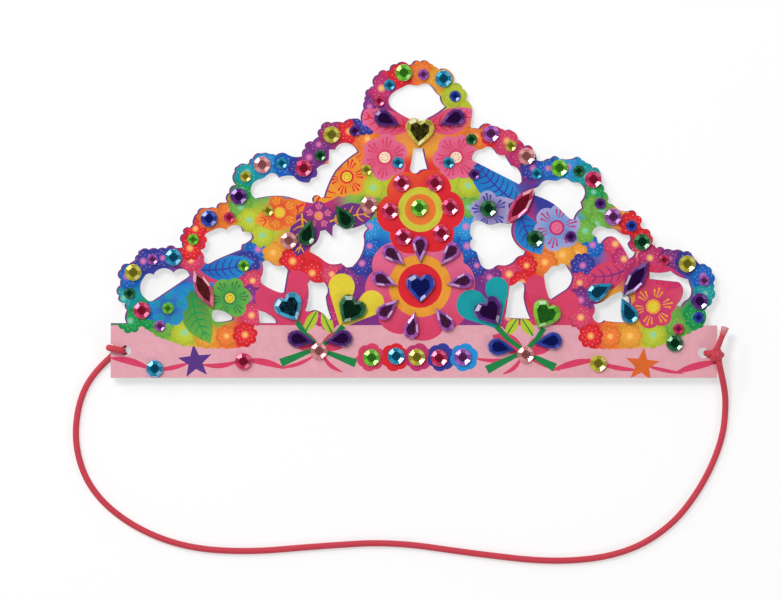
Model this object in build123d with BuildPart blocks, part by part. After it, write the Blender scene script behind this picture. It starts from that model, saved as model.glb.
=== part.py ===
from build123d import *
import math
import os

# A paper crown: a die-cut card sheet with stick-on faceted stones and an elastic head cord.
# Row frame in mm: X along the band, Y towards the crest, Z up, z = 0 on the table.
# The sheet's own frame is u, v, w: u along the band, v to the crest, w out of the printed face.

os.makedirs("parts", exist_ok=True)

# Driving sizes, mm
band_width = 280.0
sheet_thickness = 2.0
crest_v = 73.3
band_foot_v = -73.9
band_top_left_v = -48.6
band_top_right_v = -49.7
cord_diameter = 3.0
cord_radius = cord_diameter / 2
tie_v = -61.5
tie_clearance = 4.2
hole_radius = 2.4
hole_pull_radius = 1.7
hole_pull = 1.6
left_hole_inset = 7.1
right_hole_inset = 6.5
left_hole = (-band_width / 2 + left_hole_inset, -61.3)
right_hole = (band_width / 2 - right_hole_inset, -62.3)
edge_bite = 0.9
bite_v = -59.9
cord_gap = 0.15
petal_swell = 0.8
flat_turn = 32.0
cord_sides = 8
large_round_radius = 4.05
small_round_radius = 2.7
heart_width = 13.7
broad_drop_size = (13.2, 8.3)
slim_drop_size = (12.8, 7.4)
marquise_size = (20.9, 7.9)
# Each cut is a stone's girdle, its whole height, and how far its facets run in
large_round_cut = (0.7, 2.6, 1.9)
small_round_cut = (0.5, 1.9, 1.2)
heart_cut = (0.8, 3.2, 2.1)
broad_drop_cut = (0.8, 3.2, 1.7)
slim_drop_cut = (0.8, 3.0, 1.5)
marquise_cut = (0.8, 3.2, 1.5)
loop_rise = 2.6
foot_bend = 2.4
top_bend = 2.9
hidden_knot_size = (7.4, 5.6, 3.9)
hidden_knot_bevel = 0.9
stub_bend = 2.2
tail_bend = 6.0
tail_flare = 1.9

# The cord under both ends lifts the band, and the crest stays on the table
sin_tilt = tie_clearance / (crest_v - tie_v)
cos_tilt = math.sqrt(1 - sin_tilt**2)
middle_v = (crest_v + band_foot_v) / 2
foot_plane = Plane(
    origin=(0, -middle_v * cos_tilt - sheet_thickness * sin_tilt / 2, crest_v * sin_tilt),
    x_dir=(1, 0, 0),
    z_dir=(0, sin_tilt, cos_tilt),
)
face_plane = foot_plane.offset(sheet_thickness)
shift_y = foot_plane.origin.Y


def underside(v):
    """The height of the sheet's underside over the table."""
    return (crest_v - v) * sin_tilt


# The cut edge: each place is a notch, with how far the petal to the next one swells, per chord
crown_edge = [
    (-132.8, -48.6, 0.18), (-132.5, -42.7, 0.25), (-133.3, -39.3, 0.0), (-135.8, -38.7, 0.3),
    (-136.2, -36.0, 0.38), (-135.7, -31.2, 0.1), (-135.4, -28.4, 0.4), (-135.4, -23.8, 0.35),
    (-131.8, -21.3, 0.05), (-128.8, -19.4, 0.3), (-127.3, -16.9, 0.3), (-126.4, -14.9, 0.25),
    (-122.4, -14.7, 0.22), (-118.3, -14.5, 0.2), (-114.6, -14.1, 0.38), (-110.0, -14.0, 0.05),
    (-106.9, -13.6, 0.1), (-107.2, -11.3, 0.4), (-106.4, -7.2, 0.3), (-106.0, -4.8, 0.25),
    (-103.5, -4.6, 0.1), (-102.2, -3.1, 0.1), (-101.9, 0.0, 0.15), (-100.1, 2.1, 0.2),
    (-98.7, 4.5, 0.08), (-95.2, 4.6, 0.12), (-91.3, 4.6, 0.3), (-88.3, 7.1, 0.05),
    (-86.2, 7.3, 0.35), (-85.3, 11.7, 0.35), (-82.0, 15.2, 0.3), (-82.8, 21.5, 0.3),
    (-81.8, 23.8, 0.22), (-77.2, 24.8, 0.0), (-76.1, 25.6, 0.35), (-74.6, 27.5, 0.1),
    (-73.0, 29.7, 0.1), (-70.5, 29.9, 0.15), (-66.5, 29.6, 0.1), (-63.8, 29.0, 0.25),
    (-57.8, 29.0, 0.05), (-55.0, 28.2, 0.05), (-51.6, 28.6, 0.3), (-50.1, 32.1, 0.35),
    (-49.0, 35.1, 0.2), (-46.9, 35.2, 0.1), (-43.9, 37.7, 0.4), (-43.0, 41.3, 0.25),
    (-41.3, 44.1, 0.2), (-38.3, 43.9, 0.12), (-32.8, 44.1, 0.15), (-27.3, 46.0, 0.2),
    (-24.5, 44.8, 0.15), (-23.2, 50.6, 0.2), (-22.7, 54.3, 0.3), (-22.2, 56.4, 0.35),
    (-20.6, 59.8, 0.2), (-18.5, 61.0, 0.35), (-16.6, 66.3, 0.38), (-12.7, 67.9, 0.15),
    (-11.3, 68.4, 0.35), (-8.1, 71.1, 0.3), (-2.5, 70.8, 0.1), (-1.2, 71.0, 0.35),
    (2.9, 72.3, 0.3), (7.2, 71.6, 0.15), (9.5, 70.0, 0.2), (11.3, 68.7, 0.2),
    (16.9, 67.7, 0.2), (18.2, 62.1, 0.35), (22.4, 59.6, 0.35), (23.7, 54.6, 0.15),
    (25.9, 52.9, 0.12), (27.0, 49.0, 0.08), (26.6, 45.3, 0.02), (25.9, 42.3, 0.1),
    (26.6, 41.6, 0.0), (29.9, 41.4, 0.32), (36.3, 42.7, 0.12), (40.2, 41.3, 0.12),
    (42.0, 40.4, 0.2), (45.7, 40.1, 0.2), (48.0, 36.3, 0.15), (51.1, 33.1, 0.4),
    (55.0, 31.4, 0.1), (56.8, 26.6, 0.0), (59.6, 26.4, 0.1), (63.1, 27.6, 0.35),
    (67.0, 27.6, 0.03), (73.7, 27.6, 0.35), (77.6, 26.7, 0.15), (79.7, 25.4, 0.2),
    (82.6, 23.2, 0.3), (85.9, 21.5, 0.12), (86.4, 15.7, 0.3), (87.5, 12.2, 0.32),
    (89.4, 7.6, 0.0), (90.0, 6.6, 0.1), (92.3, 5.7, 0.05), (94.9, 3.7, 0.05), (99.2, 3.2, 0.4),
    (102.8, 1.1, 0.45), (104.6, -2.8, 0.0), (104.8, -4.2, 0.0), (106.3, -5.1, 0.35),
    (109.3, -7.8, 0.25),
    (109.8, -12.0, 0.1), (112.0, -14.0, 0.32), (115.7, -14.6, 0.15), (119.7, -15.0, 0.2),
    (124.5, -15.8, 0.33), (128.6, -17.3, 0.08), (132.1, -21.5, 0.25), (135.6, -22.4, 0.3),
    (137.5, -25.6, 0.35), (138.1, -30.0, 0.25), (138.3, -33.0, 0.33), (137.6, -37.7, 0.3),
    (135.6, -40.9, 0.1), (134.2, -42.7, 0.2), (133.4, band_top_right_v, 0.0),
    (band_width / 2, band_top_right_v, 0.0), (band_width / 2, band_foot_v, 0.0),
    (-band_width / 2, band_foot_v, 0.0), (-band_width / 2, band_top_left_v, 0.0),
]

# The openings: a first corner, then runs that end at the next corner and may bend through others
left_loop_gap = [
    (-103.6, -26.8), [(-105.8, -23.9), (-108.0, -23.5), (-111.0, -25.3)],
    [(-116.3, -23.3), (-120.4, -26.3)], [(-123.0, -25.8), (-124.6, -27.3)],
    [(-126.4, -31.4), (-126.0, -34.7), (-123.8, -37.4)], [(-121.7, -38.5), (-119.8, -37.7)],
    [(-112.3, -31.6), (-103.6, -26.8)],
]
left_ring_gap = [
    (-96.3, -7.3), [(-93.0, -5.7), (-89.7, -4.6), (-86.7, -5.5)],
    [(-83.7, -3.4), (-80.6, -3.8), (-79.2, -6.4)], [(-76.0, -6.8)],
    [(-74.9, -8.1), (-75.7, -10.2)], [(-78.1, -11.2), (-79.5, -12.2)], [(-80.0, -14.7)],
    [(-86.0, -17.0), (-91.0, -19.2)], [(-94.0, -20.8), (-95.6, -21.2), (-97.0, -19.7)],
    [(-96.9, -18.0), (-98.3, -15.5)], [(-98.5, -14.5)], [(-96.7, -13.9), (-96.5, -11.8)],
    [(-95.6, -10.4), (-96.7, -8.5)], [(-96.3, -7.3)],
]
left_wedge_gap = [
    (-92.6, -42.7), [(-93.3, -45.0), (-92.6, -47.1)], [(-91.2, -48.0)], [(-85.0, -47.3)],
    [(-83.9, -46.3), (-84.3, -45.3)], [(-88.0, -43.5), (-90.7, -42.5)], [(-92.6, -42.7)],
]
left_great_gap = [
    (-73.1, 9.0), [(-75.3, 11.6), (-75.1, 14.6), (-72.3, 17.6)], [(-69.3, 18.6), (-67.5, 20.1)],
    [(-65.8, 20.8), (-62.5, 18.6)], [(-59.5, 19.5), (-55.5, 19.3)], [(-53.8, 17.5)],
    [(-48.4, 16.4)], [(-47.4, 18.4)], [(-45.1, 19.1)], [(-44.6, 21.0), (-45.1, 22.6)],
    [(-42.5, 24.5), (-39.6, 25.0)], [(-39.3, 27.4)], [(-39.2, 31.6)], [(-36.4, 31.6)],
    [(-32.8, 34.7), (-29.6, 34.3), (-26.2, 30.6)],
    [(-33.1, 25.5), (-36.8, 21.3), (-39.6, 16.0), (-41.7, 9.5)], [(-43.0, 9.4)],
    [(-45.0, 10.6), (-46.8, 9.5)], [(-47.0, 7.9), (-45.9, 6.8)], [(-48.0, 7.0)],
    [(-51.9, 8.0), (-56.6, 9.6), (-63.2, 10.3), (-68.4, 9.9), (-73.1, 9.0)],
]
left_lower_gap = [
    (-48.1, -15.7), [(-47.6, -13.6), (-45.8, -12.0)], [(-43.9, -9.0)], [(-43.4, -6.2)],
    [(-40.9, -5.5)], [(-37.7, -8.7)], [(-37.5, -3.9)], [(-36.1, -2.6)],
    [(-32.3, -4.9), (-27.9, -4.6)], [(-23.1, -2.8)], [(-21.3, -4.9)],
    [(-23.0, -6.9), (-23.0, -10.2)], [(-24.0, -13.9), (-24.5, -17.1)],
    [(-26.6, -20.1), (-28.6, -22.6)], [(-31.2, -22.9)], [(-33.7, -20.9)],
    [(-36.0, -20.8), (-38.7, -21.3)], [(-41.6, -19.6), (-44.4, -17.7)], [(-48.1, -15.7)],
]
left_square_gap = [
    (-70.0, -20.8), [(-68.8, -19.8), (-67.2, -20.0)], [(-64.2, -21.9)], [(-60.3, -21.9)],
    [(-58.3, -24.0)], [(-59.0, -29.0), (-60.1, -34.4)], [(-61.7, -34.6)], [(-70.0, -30.6)],
    [(-70.8, -28.6), (-70.1, -26.3)], [(-70.0, -20.8)],
]
left_tall_gap = [
    (-47.9, -28.8), [(-46.7, -29.6)], [(-41.6, -29.7)], [(-40.5, -31.0), (-40.8, -36.5)],
    [(-40.0, -40.4), (-38.3, -46.4)], [(-39.5, -47.0)], [(-42.7, -43.7)], [(-46.0, -42.5)],
    [(-48.5, -43.2)], [(-50.3, -43.0)], [(-48.7, -36.5), (-49.1, -30.5)], [(-47.9, -28.8)],
]
left_corner_gap = [
    (-71.9, -42.7), [(-70.3, -43.1)], [(-64.0, -47.1)], [(-63.7, -48.6)], [(-71.2, -48.6)],
    [(-71.9, -42.7)],
]
crest_gap = [
    (-11.3, 55.9), [(-11.6, 53.1), (-10.7, 51.3)], [(-7.4, 49.3), (-2.8, 46.2)], [(1.8, 44.4)],
    [(6.3, 46.2)], [(10.5, 49.0), (14.5, 51.6)], [(12.2, 54.3)], [(12.0, 56.5)], [(9.6, 58.7)],
    [(8.5, 60.3)], [(6.5, 62.0), (3.2, 61.7)], [(1.4, 61.3)], [(-1.4, 61.8), (-6.0, 60.1)],
    [(-9.3, 58.2), (-11.3, 55.9)],
]
centre_gap = [
    (-0.2, 32.1), [(-1.1, 27.7), (-1.6, 24.0)], [(0.5, 20.6), (2.5, 21.9)], [(6.1, 22.6)],
    [(5.5, 25.9), (4.6, 28.6)], [(4.0, 30.4), (3.9, 32.3)], [(-0.2, 32.1)],
]
right_top_gap = [
    (26.9, 28.2), [(28.4, 30.7), (31.9, 31.9)], [(35.1, 32.9), (37.0, 31.4)],
    [(38.8, 29.4), (41.8, 29.1)], [(43.4, 26.8), (44.8, 24.2)], [(47.6, 23.1), (49.1, 20.8)],
    [(49.6, 16.6)], [(48.5, 15.6)], [(36.8, 22.3), (26.9, 26.7)], [(26.9, 28.2)],
]
right_great_gap = [
    (55.4, 13.6), [(57.8, 14.8)], [(59.8, 16.9), (63.3, 17.4)], [(66.1, 17.2)],
    [(70.2, 18.2), (73.0, 16.6)], [(76.0, 16.3)], [(78.3, 14.3), (78.2, 9.2)], [(76.9, 7.4)],
    [(77.6, 4.6)], [(75.1, 2.5), (73.7, -0.7)], [(72.3, -0.5)], [(64.2, 6.7), (55.9, 10.4)],
    [(55.4, 13.6)],
]
right_lower_gap = [
    (26.1, -4.6), [(27.5, -1.6), (29.8, -1.2)], [(34.9, -3.2), (40.1, -2.3)], [(42.7, -2.7)],
    [(45.5, -2.3)], [(45.0, -7.4), (47.4, -12.2), (51.3, -15.2)], [(50.5, -17.1)],
    [(47.8, -18.0)], [(45.3, -20.6), (42.3, -21.9)], [(38.3, -21.9)], [(35.9, -23.5)],
    [(32.3, -23.1), (30.4, -20.3)], [(29.0, -15.7)], [(26.8, -14.7)],
    [(25.9, -12.7), (27.2, -9.5)], [(25.9, -6.9), (26.1, -4.6)],
]
right_ring_gap = [
    (82.2, -7.4), [(83.4, -4.9), (86.2, -3.7)], [(89.2, -4.8)], [(92.9, -5.3), (95.9, -7.3)],
    [(99.3, -7.9)], [(99.9, -9.5), (98.6, -11.5)], [(99.3, -13.6), (102.1, -15.7)],
    [(100.5, -18.2)], [(99.1, -18.8)], [(96.1, -14.1), (94.2, -10.4)],
    [(91.0, -8.5), (87.8, -9.7)], [(86.3, -11.7)], [(84.9, -11.7)], [(84.5, -9.0)],
    [(82.2, -7.4)],
]
right_loop_gap = [
    (108.9, -24.9), [(113.7, -25.4), (118.6, -24.5)], [(121.5, -26.6)], [(126.6, -28.3)],
    [(127.4, -31.0)], [(128.1, -34.2), (126.8, -37.2)], [(124.4, -39.0), (123.1, -41.1)],
    [(121.3, -40.4)], [(123.6, -37.0), (124.3, -32.8), (122.2, -29.6)], [(108.9, -28.2)],
    [(108.9, -24.9)],
]
right_corner_gap = [
    (83.0, -40.0), [(86.9, -38.9), (90.6, -36.3)], [(95.4, -34.0)], [(99.3, -36.7)],
    [(99.5, -39.3)], [(99.7, -43.4), (100.3, -48.0)], [(90.1, -47.8)], [(87.5, -47.3)],
    [(85.5, -48.4), (83.2, -47.1), (82.5, -45.3)], [(83.5, -43.4)], [(83.0, -40.0)],
]
right_tall_gap = [
    (44.3, -31.4), [(47.1, -30.2)], [(48.7, -29.3), (50.7, -30.7)], [(50.6, -37.2)],
    [(52.2, -41.1), (53.6, -46.6)], [(42.1, -46.1)], [(43.4, -38.8), (44.3, -31.4)],
]
right_square_gap = [
    (60.1, -26.2), [(62.6, -23.7)], [(63.8, -22.4), (66.5, -22.5)], [(69.1, -21.2), (70.8, -22.9)],
    [(72.9, -27.0)], [(71.6, -31.4), (68.1, -34.3)], [(63.1, -37.6)], [(62.2, -36.5)],
    [(60.1, -26.2)],
]
openings = [
    left_loop_gap, left_ring_gap, left_wedge_gap, left_great_gap, left_lower_gap,
    left_square_gap, left_tall_gap, left_corner_gap, crest_gap, centre_gap, right_top_gap,
    right_great_gap, right_lower_gap, right_ring_gap, right_loop_gap, right_corner_gap,
    right_tall_gap, right_square_gap,
]


def petal(a, b, share):
    """The arc of one petal from notch a to notch b, swelling to the left of that way."""
    depth = share * petal_swell
    middle = (
        (a[0] + b[0]) / 2 - (b[1] - a[1]) * depth,
        (a[1] + b[1]) / 2 + (b[0] - a[0]) * depth,
    )
    return ThreePointArc(a, middle, b, mode=Mode.PRIVATE)


def bend(corner, run):
    """The edge of an opening from its last corner along one run."""
    if len(run) == 1:
        return Line(corner, run[0], mode=Mode.PRIVATE)
    if len(run) == 2:
        return ThreePointArc(corner, run[0], run[1], mode=Mode.PRIVATE)
    return Spline(corner, *run, mode=Mode.PRIVATE)


def flats(curve):
    """Places along a curve, without its start, so that each flat turns by about flat_turn."""
    ways = [curve % (k / 8) for k in range(9)]
    turn = sum(p.get_angle(q) for p, q in zip(ways, ways[1:]))
    steps = max(1, math.ceil(turn / flat_turn))
    return [curve @ (k / steps) for k in range(1, steps + 1)]


def outer_outline():
    """The whole cut edge as short flats."""
    places = []
    for k, (x, y, share) in enumerate(crown_edge):
        following = crown_edge[(k + 1) % len(crown_edge)][:2]
        if share:
            places += flats(petal((x, y), following, share))
        else:
            places.append(following)
    return places


def gap_outline(gap):
    """One opening as short flats."""
    places = []
    corner = gap[0]
    for run in gap[1:]:
        places += flats(bend(corner, run))
        corner = run[-1]
    return places


# The sheet
crown_outline = outer_outline()
gap_outlines = [gap_outline(gap) for gap in openings]
with BuildPart() as crown_sheet:
    with BuildSketch(foot_plane):
        with BuildLine():
            Polyline(*crown_outline, close=True)
        make_face()
        for outline in gap_outlines:
            with BuildLine():
                Polyline(*outline, close=True)
            make_face(mode=Mode.SUBTRACT)
        for place, way in ((left_hole, -1), (right_hole, 1)):
            with Locations(place):
                Circle(hole_radius, mode=Mode.SUBTRACT)
            with Locations((place[0] + way * hole_pull, place[1])):
                Circle(hole_pull_radius, mode=Mode.SUBTRACT)
        with Locations((-band_width / 2, bite_v)):
            Rectangle(2 * edge_bite, cord_diameter + 0.4, mode=Mode.SUBTRACT)
    extrude(amount=sheet_thickness)
crown_sheet.part.label = "crown_sheet"
export_step(crown_sheet.part, "parts/crown_sheet.step")
print("crown_sheet", round(crown_sheet.part.volume), "mm3", len(crown_sheet.part.solids()), "solid")


# The stones: a flat back, a low girdle, sloped facets and a table
def shape_of(points, girdle, height, facet):
    """One stone standing on z = 0, with facets that run in by facet from its outline."""
    with BuildPart() as stone:
        with BuildSketch(Plane.XY):
            Polygon(*points, align=None)
        extrude(amount=girdle)
        with BuildSketch(Plane.XY.offset(girdle)):
            Polygon(*points, align=None)
        slope = math.degrees(math.atan(facet / (height - girdle)))
        extrude(amount=height - girdle, taper=slope)
    return stone.part


def ring_points(radius, sides):
    turn = 360 / sides
    return [
        (
            radius * math.cos(math.radians((k + 0.5) * turn)),
            radius * math.sin(math.radians((k + 0.5) * turn)),
        )
        for k in range(sides)
    ]


def drop_points(long, wide):
    """A teardrop along +X, with its round end about the origin and its tip at long - wide / 2."""
    r = wide / 2
    tip = long - r
    round_end = [
        (r * math.cos(math.radians(a)), r * math.sin(math.radians(a)))
        for a in (66, 102, 138, 180, 222, 258, 294)
    ]
    return [(tip, 0.0), (tip * 0.58, r * 0.55)] + round_end + [(tip * 0.58, -r * 0.55)]


def leaf_points(long, wide):
    """A marquise along X, pointed at both ends."""
    half = long / 2
    side = [(0.66, 0.56), (0.34, 0.88), (0.0, 1.0), (-0.34, 0.88), (-0.66, 0.56)]
    above = [(half * a, wide / 2 * b) for a, b in side]
    below = [(half * a, -wide / 2 * b) for a, b in reversed(side)]
    return [(half, 0.0)] + above + [(-half, 0.0)] + below


def heart_points(wide):
    """A heart with its tip along -Y, about the middle of its height."""
    side = [(0.0, 0.33), (0.14, 0.43), (0.28, 0.47), (0.42, 0.38), (0.5, 0.2), (0.47, 0.0)]
    side += [(0.34, -0.2), (0.17, -0.38)]
    left = [(-wide * a, wide * b) for a, b in side]
    right = [(wide * a, wide * b) for a, b in reversed(side[1:])]
    return left + [(0.0, -wide * 0.51)] + right


large_round = shape_of(ring_points(large_round_radius, 12), *large_round_cut)
small_round = shape_of(ring_points(small_round_radius, 8), *small_round_cut)
heart = shape_of(heart_points(heart_width), *heart_cut)
broad_drop = shape_of(drop_points(*broad_drop_size), *broad_drop_cut)
slim_drop = shape_of(drop_points(*slim_drop_size), *slim_drop_cut)
marquise = shape_of(leaf_points(*marquise_size), *marquise_cut)


def place_stones(name, stone, places):
    """A group of equal stones on the printed face; each place is u, v and a turn in degrees."""
    with BuildPart() as group:
        for u, v, turn in places:
            add(stone.moved(face_plane.location * Location((u, v, 0), (0, 0, turn))))
    group.part.label = name
    export_step(group.part, "parts/" + name + ".step")
    print(name, len(group.part.solids()), "of", len(places))


large_places = {
    "yellow": [(-129.6, -25.3), (-38.0, 38.4), (1.4, -64.4), (85.1, -67.3), (126.2, -21.3)],
    "turquoise": [(-111.0, -18.3), (13.7, 64.3), (-119.6, -69.7), (-8.2, -63.9)],
    "red": [
        (-125.6, -42.8), (-50.9, 22.9), (82.9, 17.7), (-78.7, -66.3), (11.6, -64.8),
        (-5.7, 16.1), (9.7, 16.1), (-11.0, 3.2), (16.7, 5.0), (-4.9, -8.8), (12.6, -7.1),
    ],
    "blue": [(-94.6, -0.4)],
    "purple": [(-80.9, 9.9), (131.9, -38.5)],
    "blush": [
        (-70.1, 24.5), (-57.8, -10.6), (-20.7, 6.1), (52.0, 28.4), (-43.8, -61.5), (51.6, -63.2),
    ],
    "lime": [(-4.7, 67.1), (67.2, 23.0), (2.4, 4.6), (-19.6, -64.6)],
    "lilac": [(35.6, 38.9), (92.0, 0.4), (22.5, -64.4)],
    "green": [(34.4, 4.3), (55.9, -9.6), (105.4, -11.2), (120.4, -58.0)],
}
small_places = {
    "lilac": [(-120.7, -19.2), (-117.3, -50.0), (4.4, 66.3), (134.0, -29.0)],
    "green": [(-131.3, -34.9), (-43.3, 28.8), (26.6, 36.3), (76.2, 21.7)],
    "lime": [(-113.6, -41.9), (-102.0, -10.0), (-78.6, -22.1)],
    "red": [(-85.3, 0.3), (-16.0, 54.1), (115.5, -19.5), (122.1, -51.3)],
    "yellow": [(-77.8, 19.1), (-67.5, 3.3), (-21.9, 22.2), (44.8, 33.3)],
    "turquoise": [(-61.1, 25.2), (-11.3, 61.4), (-7.4, 25.5), (16.0, 25.5), (56.7, 20.4)],
    "purple": [(-27.3, 40.2), (27.9, 20.1), (72.4, -8.6), (86.1, 6.6)],
    "blue": [(19.0, 56.3), (100.5, -3.7), (131.4, -46.0)],
}
heart_places = {
    "gold": (2.6, 39.7, -6),
    "blue": (3.0, -32.3, 0),
    "aqua": (-57.3, -41.5, 29),
    "green": (-29.2, -42.7, -31),
    "purple": (35.1, -43.4, 33),
    "lime": (60.5, -44.8, -28),
}
# Each drop is the middle of its round end, then its tip
broad_drops = {
    "purple_upper": [((-14.5, 46.2), (-5.9, 42.5)), ((19.7, 46.5), (10.0, 42.3))],
    "green": [((-49.7, -8.8), (-47.0, 0.5)), ((-31.2, -1.4), (-36.8, 6.6))],
    "purple_lower": [((-54.5, -55.8), (-45.9, -57.5)), ((-32.4, -55.6), (-41.2, -57.5))],
    "blue": [((38.1, -59.5), (47.8, -61.3)), ((64.4, -56.7), (54.6, -58.5))],
    "turquoise": [((84.1, -34.7), (92.7, -30.1)), ((99.6, -45.0), (95.4, -36.0))],
}
slim_drops = {
    "lilac": [
        ((2.8, -11.9), (2.8, -20.7)), ((17.8, -14.8), (11.4, -23.2)),
        ((23.8, -29.0), (14.7, -31.0)), ((15.1, -48.9), (9.1, -40.5)),
        ((-1.4, -52.3), (0.6, -42.4)), ((-14.0, -43.8), (-6.5, -37.0)),
        ((-16.0, -27.9), (-8.1, -31.1)), ((-11.2, -15.9), (-3.9, -22.0)),
    ],
}
marquise_ends = {
    "pink": ((-101.9, -23.5), (-92.6, -42.1)),
    "red": ((55.4, 14.0), (43.2, -2.5)),
    "purple": ((108.2, -20.2), (96.5, -36.7)),
}


def heading(a, b):
    return math.degrees(math.atan2(b[1] - a[1], b[0] - a[0]))


for colour, places in large_places.items():
    place_stones("round_large_" + colour, large_round, [(u, v, 0) for u, v in places])
for colour, places in small_places.items():
    place_stones("round_small_" + colour, small_round, [(u, v, 0) for u, v in places])
for colour, place in heart_places.items():
    place_stones("heart_" + colour, heart, [place])
for name, ends in broad_drops.items():
    place_stones("drop_" + name, broad_drop, [(a[0], a[1], heading(a, b)) for a, b in ends])
for name, ends in slim_drops.items():
    place_stones("drop_" + name, slim_drop, [(a[0], a[1], heading(a, b)) for a, b in ends])
for name, (a, b) in marquise_ends.items():
    middle = ((a[0] + b[0]) / 2, (a[1] + b[1]) / 2)
    place_stones("marquise_" + name, marquise, [(middle[0], middle[1], heading(a, b))])


# The elastic cord: a free stretch on the table, and a tie at each end of the band
def bend_radii(points, share=0.45):
    """Radii that use share of the shorter run at each turn."""
    radii = []
    for a, b, c in zip(points, points[1:], points[2:]):
        before = Vector(*b) - Vector(*a)
        after = Vector(*c) - Vector(*b)
        turn = math.radians(before.get_angle(after))
        radii.append(share * min(before.length, after.length) / math.tan(turn / 2))
    return radii


def tube(points, radii, radius=cord_radius):
    """A tube of cord_sides flats along straight runs joined by arcs."""
    with BuildPart() as part:
        with BuildLine() as route:
            FilletPolyline(*points, radius=radii)
        with BuildSketch(Plane(origin=points[0], z_dir=Vector(*points[1]) - Vector(*points[0]))):
            RegularPolygon(radius, cord_sides)
        sweep(path=route.wires()[0])
    return part.part, route.wires()[0].length


# Each run gives x from its own end of the band, then y and z
left_run = [
    (1.0, -63.2, cord_radius), (-8.7, -71.5, cord_radius), (-15.7, -87.0, cord_radius),
    (-16.8, -107.0, cord_radius), (-9.2, -126.5, cord_radius), (8.5, -142.0, cord_radius),
    (33.0, -152.2, cord_radius), (62.0, -154.6, cord_radius), (97.0, -151.6, cord_radius),
    (130.0, -149.6, cord_radius),
]
right_run = [
    (-112.0, -155.2, cord_radius), (-74.0, -159.4, cord_radius), (-43.0, -155.6, cord_radius),
    (-21.0, -142.8, cord_radius), (-6.4, -123.6, cord_radius), (2.6, -103.0, cord_radius),
    (4.4, -86.0, 1.6), (2.9, -75.6, 5.0), (1.0, -68.4, 8.5),
]
cord_route = [(x - band_width / 2, y + shift_y, z) for x, y, z in left_run]
cord_route += [(x + band_width / 2, y + shift_y, z) for x, y, z in right_run]
cord_radii = bend_radii(cord_route)
with BuildPart() as elastic_cord:
    cord_solid, cord_length = tube(cord_route, cord_radii)
    add(cord_solid)
elastic_cord.part.label = "elastic_cord"
export_step(elastic_cord.part, "parts/elastic_cord.step")
print("elastic_cord radii", [round(r, 1) for r in cord_radii])
section_area = cord_sides / 2 * cord_radius**2 * math.sin(2 * math.pi / cord_sides)
print("elastic_cord volume", round(elastic_cord.part.volume), "mm3, section by length",
      round(section_area * cord_length), "mm3")


def knotted(points, radii):
    """A short, tightly bent piece of cord whose bends are short flats."""
    route = FilletPolyline(*points, radius=radii)
    places = [points[0]]
    for edge in route.wires()[0].order_edges():
        places += flats(edge)
    start_plane = Plane(origin=points[0], z_dir=Vector(*points[1]) - Vector(*points[0]))
    with BuildPart() as part:
        with BuildLine() as bent:
            Polyline(*places)
        with BuildSketch(start_plane):
            RegularPolygon(cord_radius, cord_sides)
        sweep(path=bent.wires()[0], transition=Transition.RIGHT)
    return part.part


def tie_loop(inner, outer):
    """The loop through a hole and round the band's edge, open at its foot inside the knot."""
    top_z = underside(tie_v) + sheet_thickness + loop_rise
    foot_z = cord_radius
    inner = (inner[0], inner[1] + shift_y)
    outer = (outer[0], outer[1] + shift_y)
    middle = [(inner[k] + outer[k]) / 2 for k in (0, 1)]
    before = [middle[k] + (inner[k] - middle[k]) * 0.1 for k in (0, 1)]
    after = [middle[k] + (outer[k] - middle[k]) * 0.1 for k in (0, 1)]
    points = [
        (before[0], before[1], foot_z), (inner[0], inner[1], foot_z),
        (inner[0], inner[1], top_z), (outer[0], outer[1], top_z),
        (outer[0], outer[1], foot_z), (after[0], after[1], foot_z),
    ]
    return knotted(points, [foot_bend, top_bend, top_bend, foot_bend])


def rod(a, b, radius=cord_radius):
    """A straight piece of cord from a to b."""
    way = Vector(*b) - Vector(*a)
    with BuildPart() as part:
        with BuildSketch(Plane(origin=a, z_dir=way)):
            RegularPolygon(radius, cord_sides)
        extrude(amount=way.length)
    return part.part


# Left tie: the loop, the flat knot hidden under the card and the start of the free stretch
left_inner = (left_hole[0] - hole_pull + 0.05, left_hole[1])
left_outer = (-band_width / 2 + edge_bite - cord_gap - cord_radius, bite_v)
left_start = cord_route[0]
knot_long, knot_wide, knot_high = hidden_knot_size
with BuildPart() as left_knot:
    with BuildSketch(Plane.XY):
        with Locations(Location((left_hole[0] - 2.9, left_hole[1] + 0.8 + shift_y), 40)):
            Polygon(*[(x * knot_long, y * knot_wide) for x, y in ring_points(0.5, 10)], align=None)
    extrude(amount=knot_high)
    chamfer(left_knot.part.edges().filter_by(Plane.XY), hidden_knot_bevel)
left_loop = tie_loop(left_inner, left_outer)
left_stub = rod((left_start[0] + 3.04, left_start[1] + 2.6, left_start[2]), left_start)
with BuildPart() as cord_left_tie:
    add(left_knot.part)
    add(left_stub)
    add(left_loop)
cord_left_tie.part.label = "cord_left_tie"
export_step(cord_left_tie.part, "parts/cord_left_tie.step")
print("cord_left_tie", round(cord_left_tie.part.volume), len(cord_left_tie.part.solids()), "solid")

# Right tie: the loop, the knot on the printed face, its cut tail and the end of the free stretch
right_inner = (right_hole[0] + hole_pull + 0.05, right_hole[1] - 0.1)
right_outer = (band_width / 2 + cord_gap + 0.1 + cord_radius, -63.2)
knot_middle = (right_outer[0] - 2.65, right_outer[1] + shift_y, 9.5)
wrap_radius = 3.1
wrap_width = 2.6
wrap_bevel = 0.8
last_run = Vector(*cord_route[-1]) - Vector(*cord_route[-2])
stub_turn = Vector(*cord_route[-1]) + last_run.normalized() * 1.9
tail_steps = [(-0.3, 0.4, 0.0), (1.9, 5.6, -0.2), (3.9, 11.0, -0.7)]
tail_route = [tuple(Vector(*knot_middle) + Vector(*step)) for step in tail_steps]
tail_way = Vector(*tail_route[-1]) - Vector(*tail_route[-2])


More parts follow.
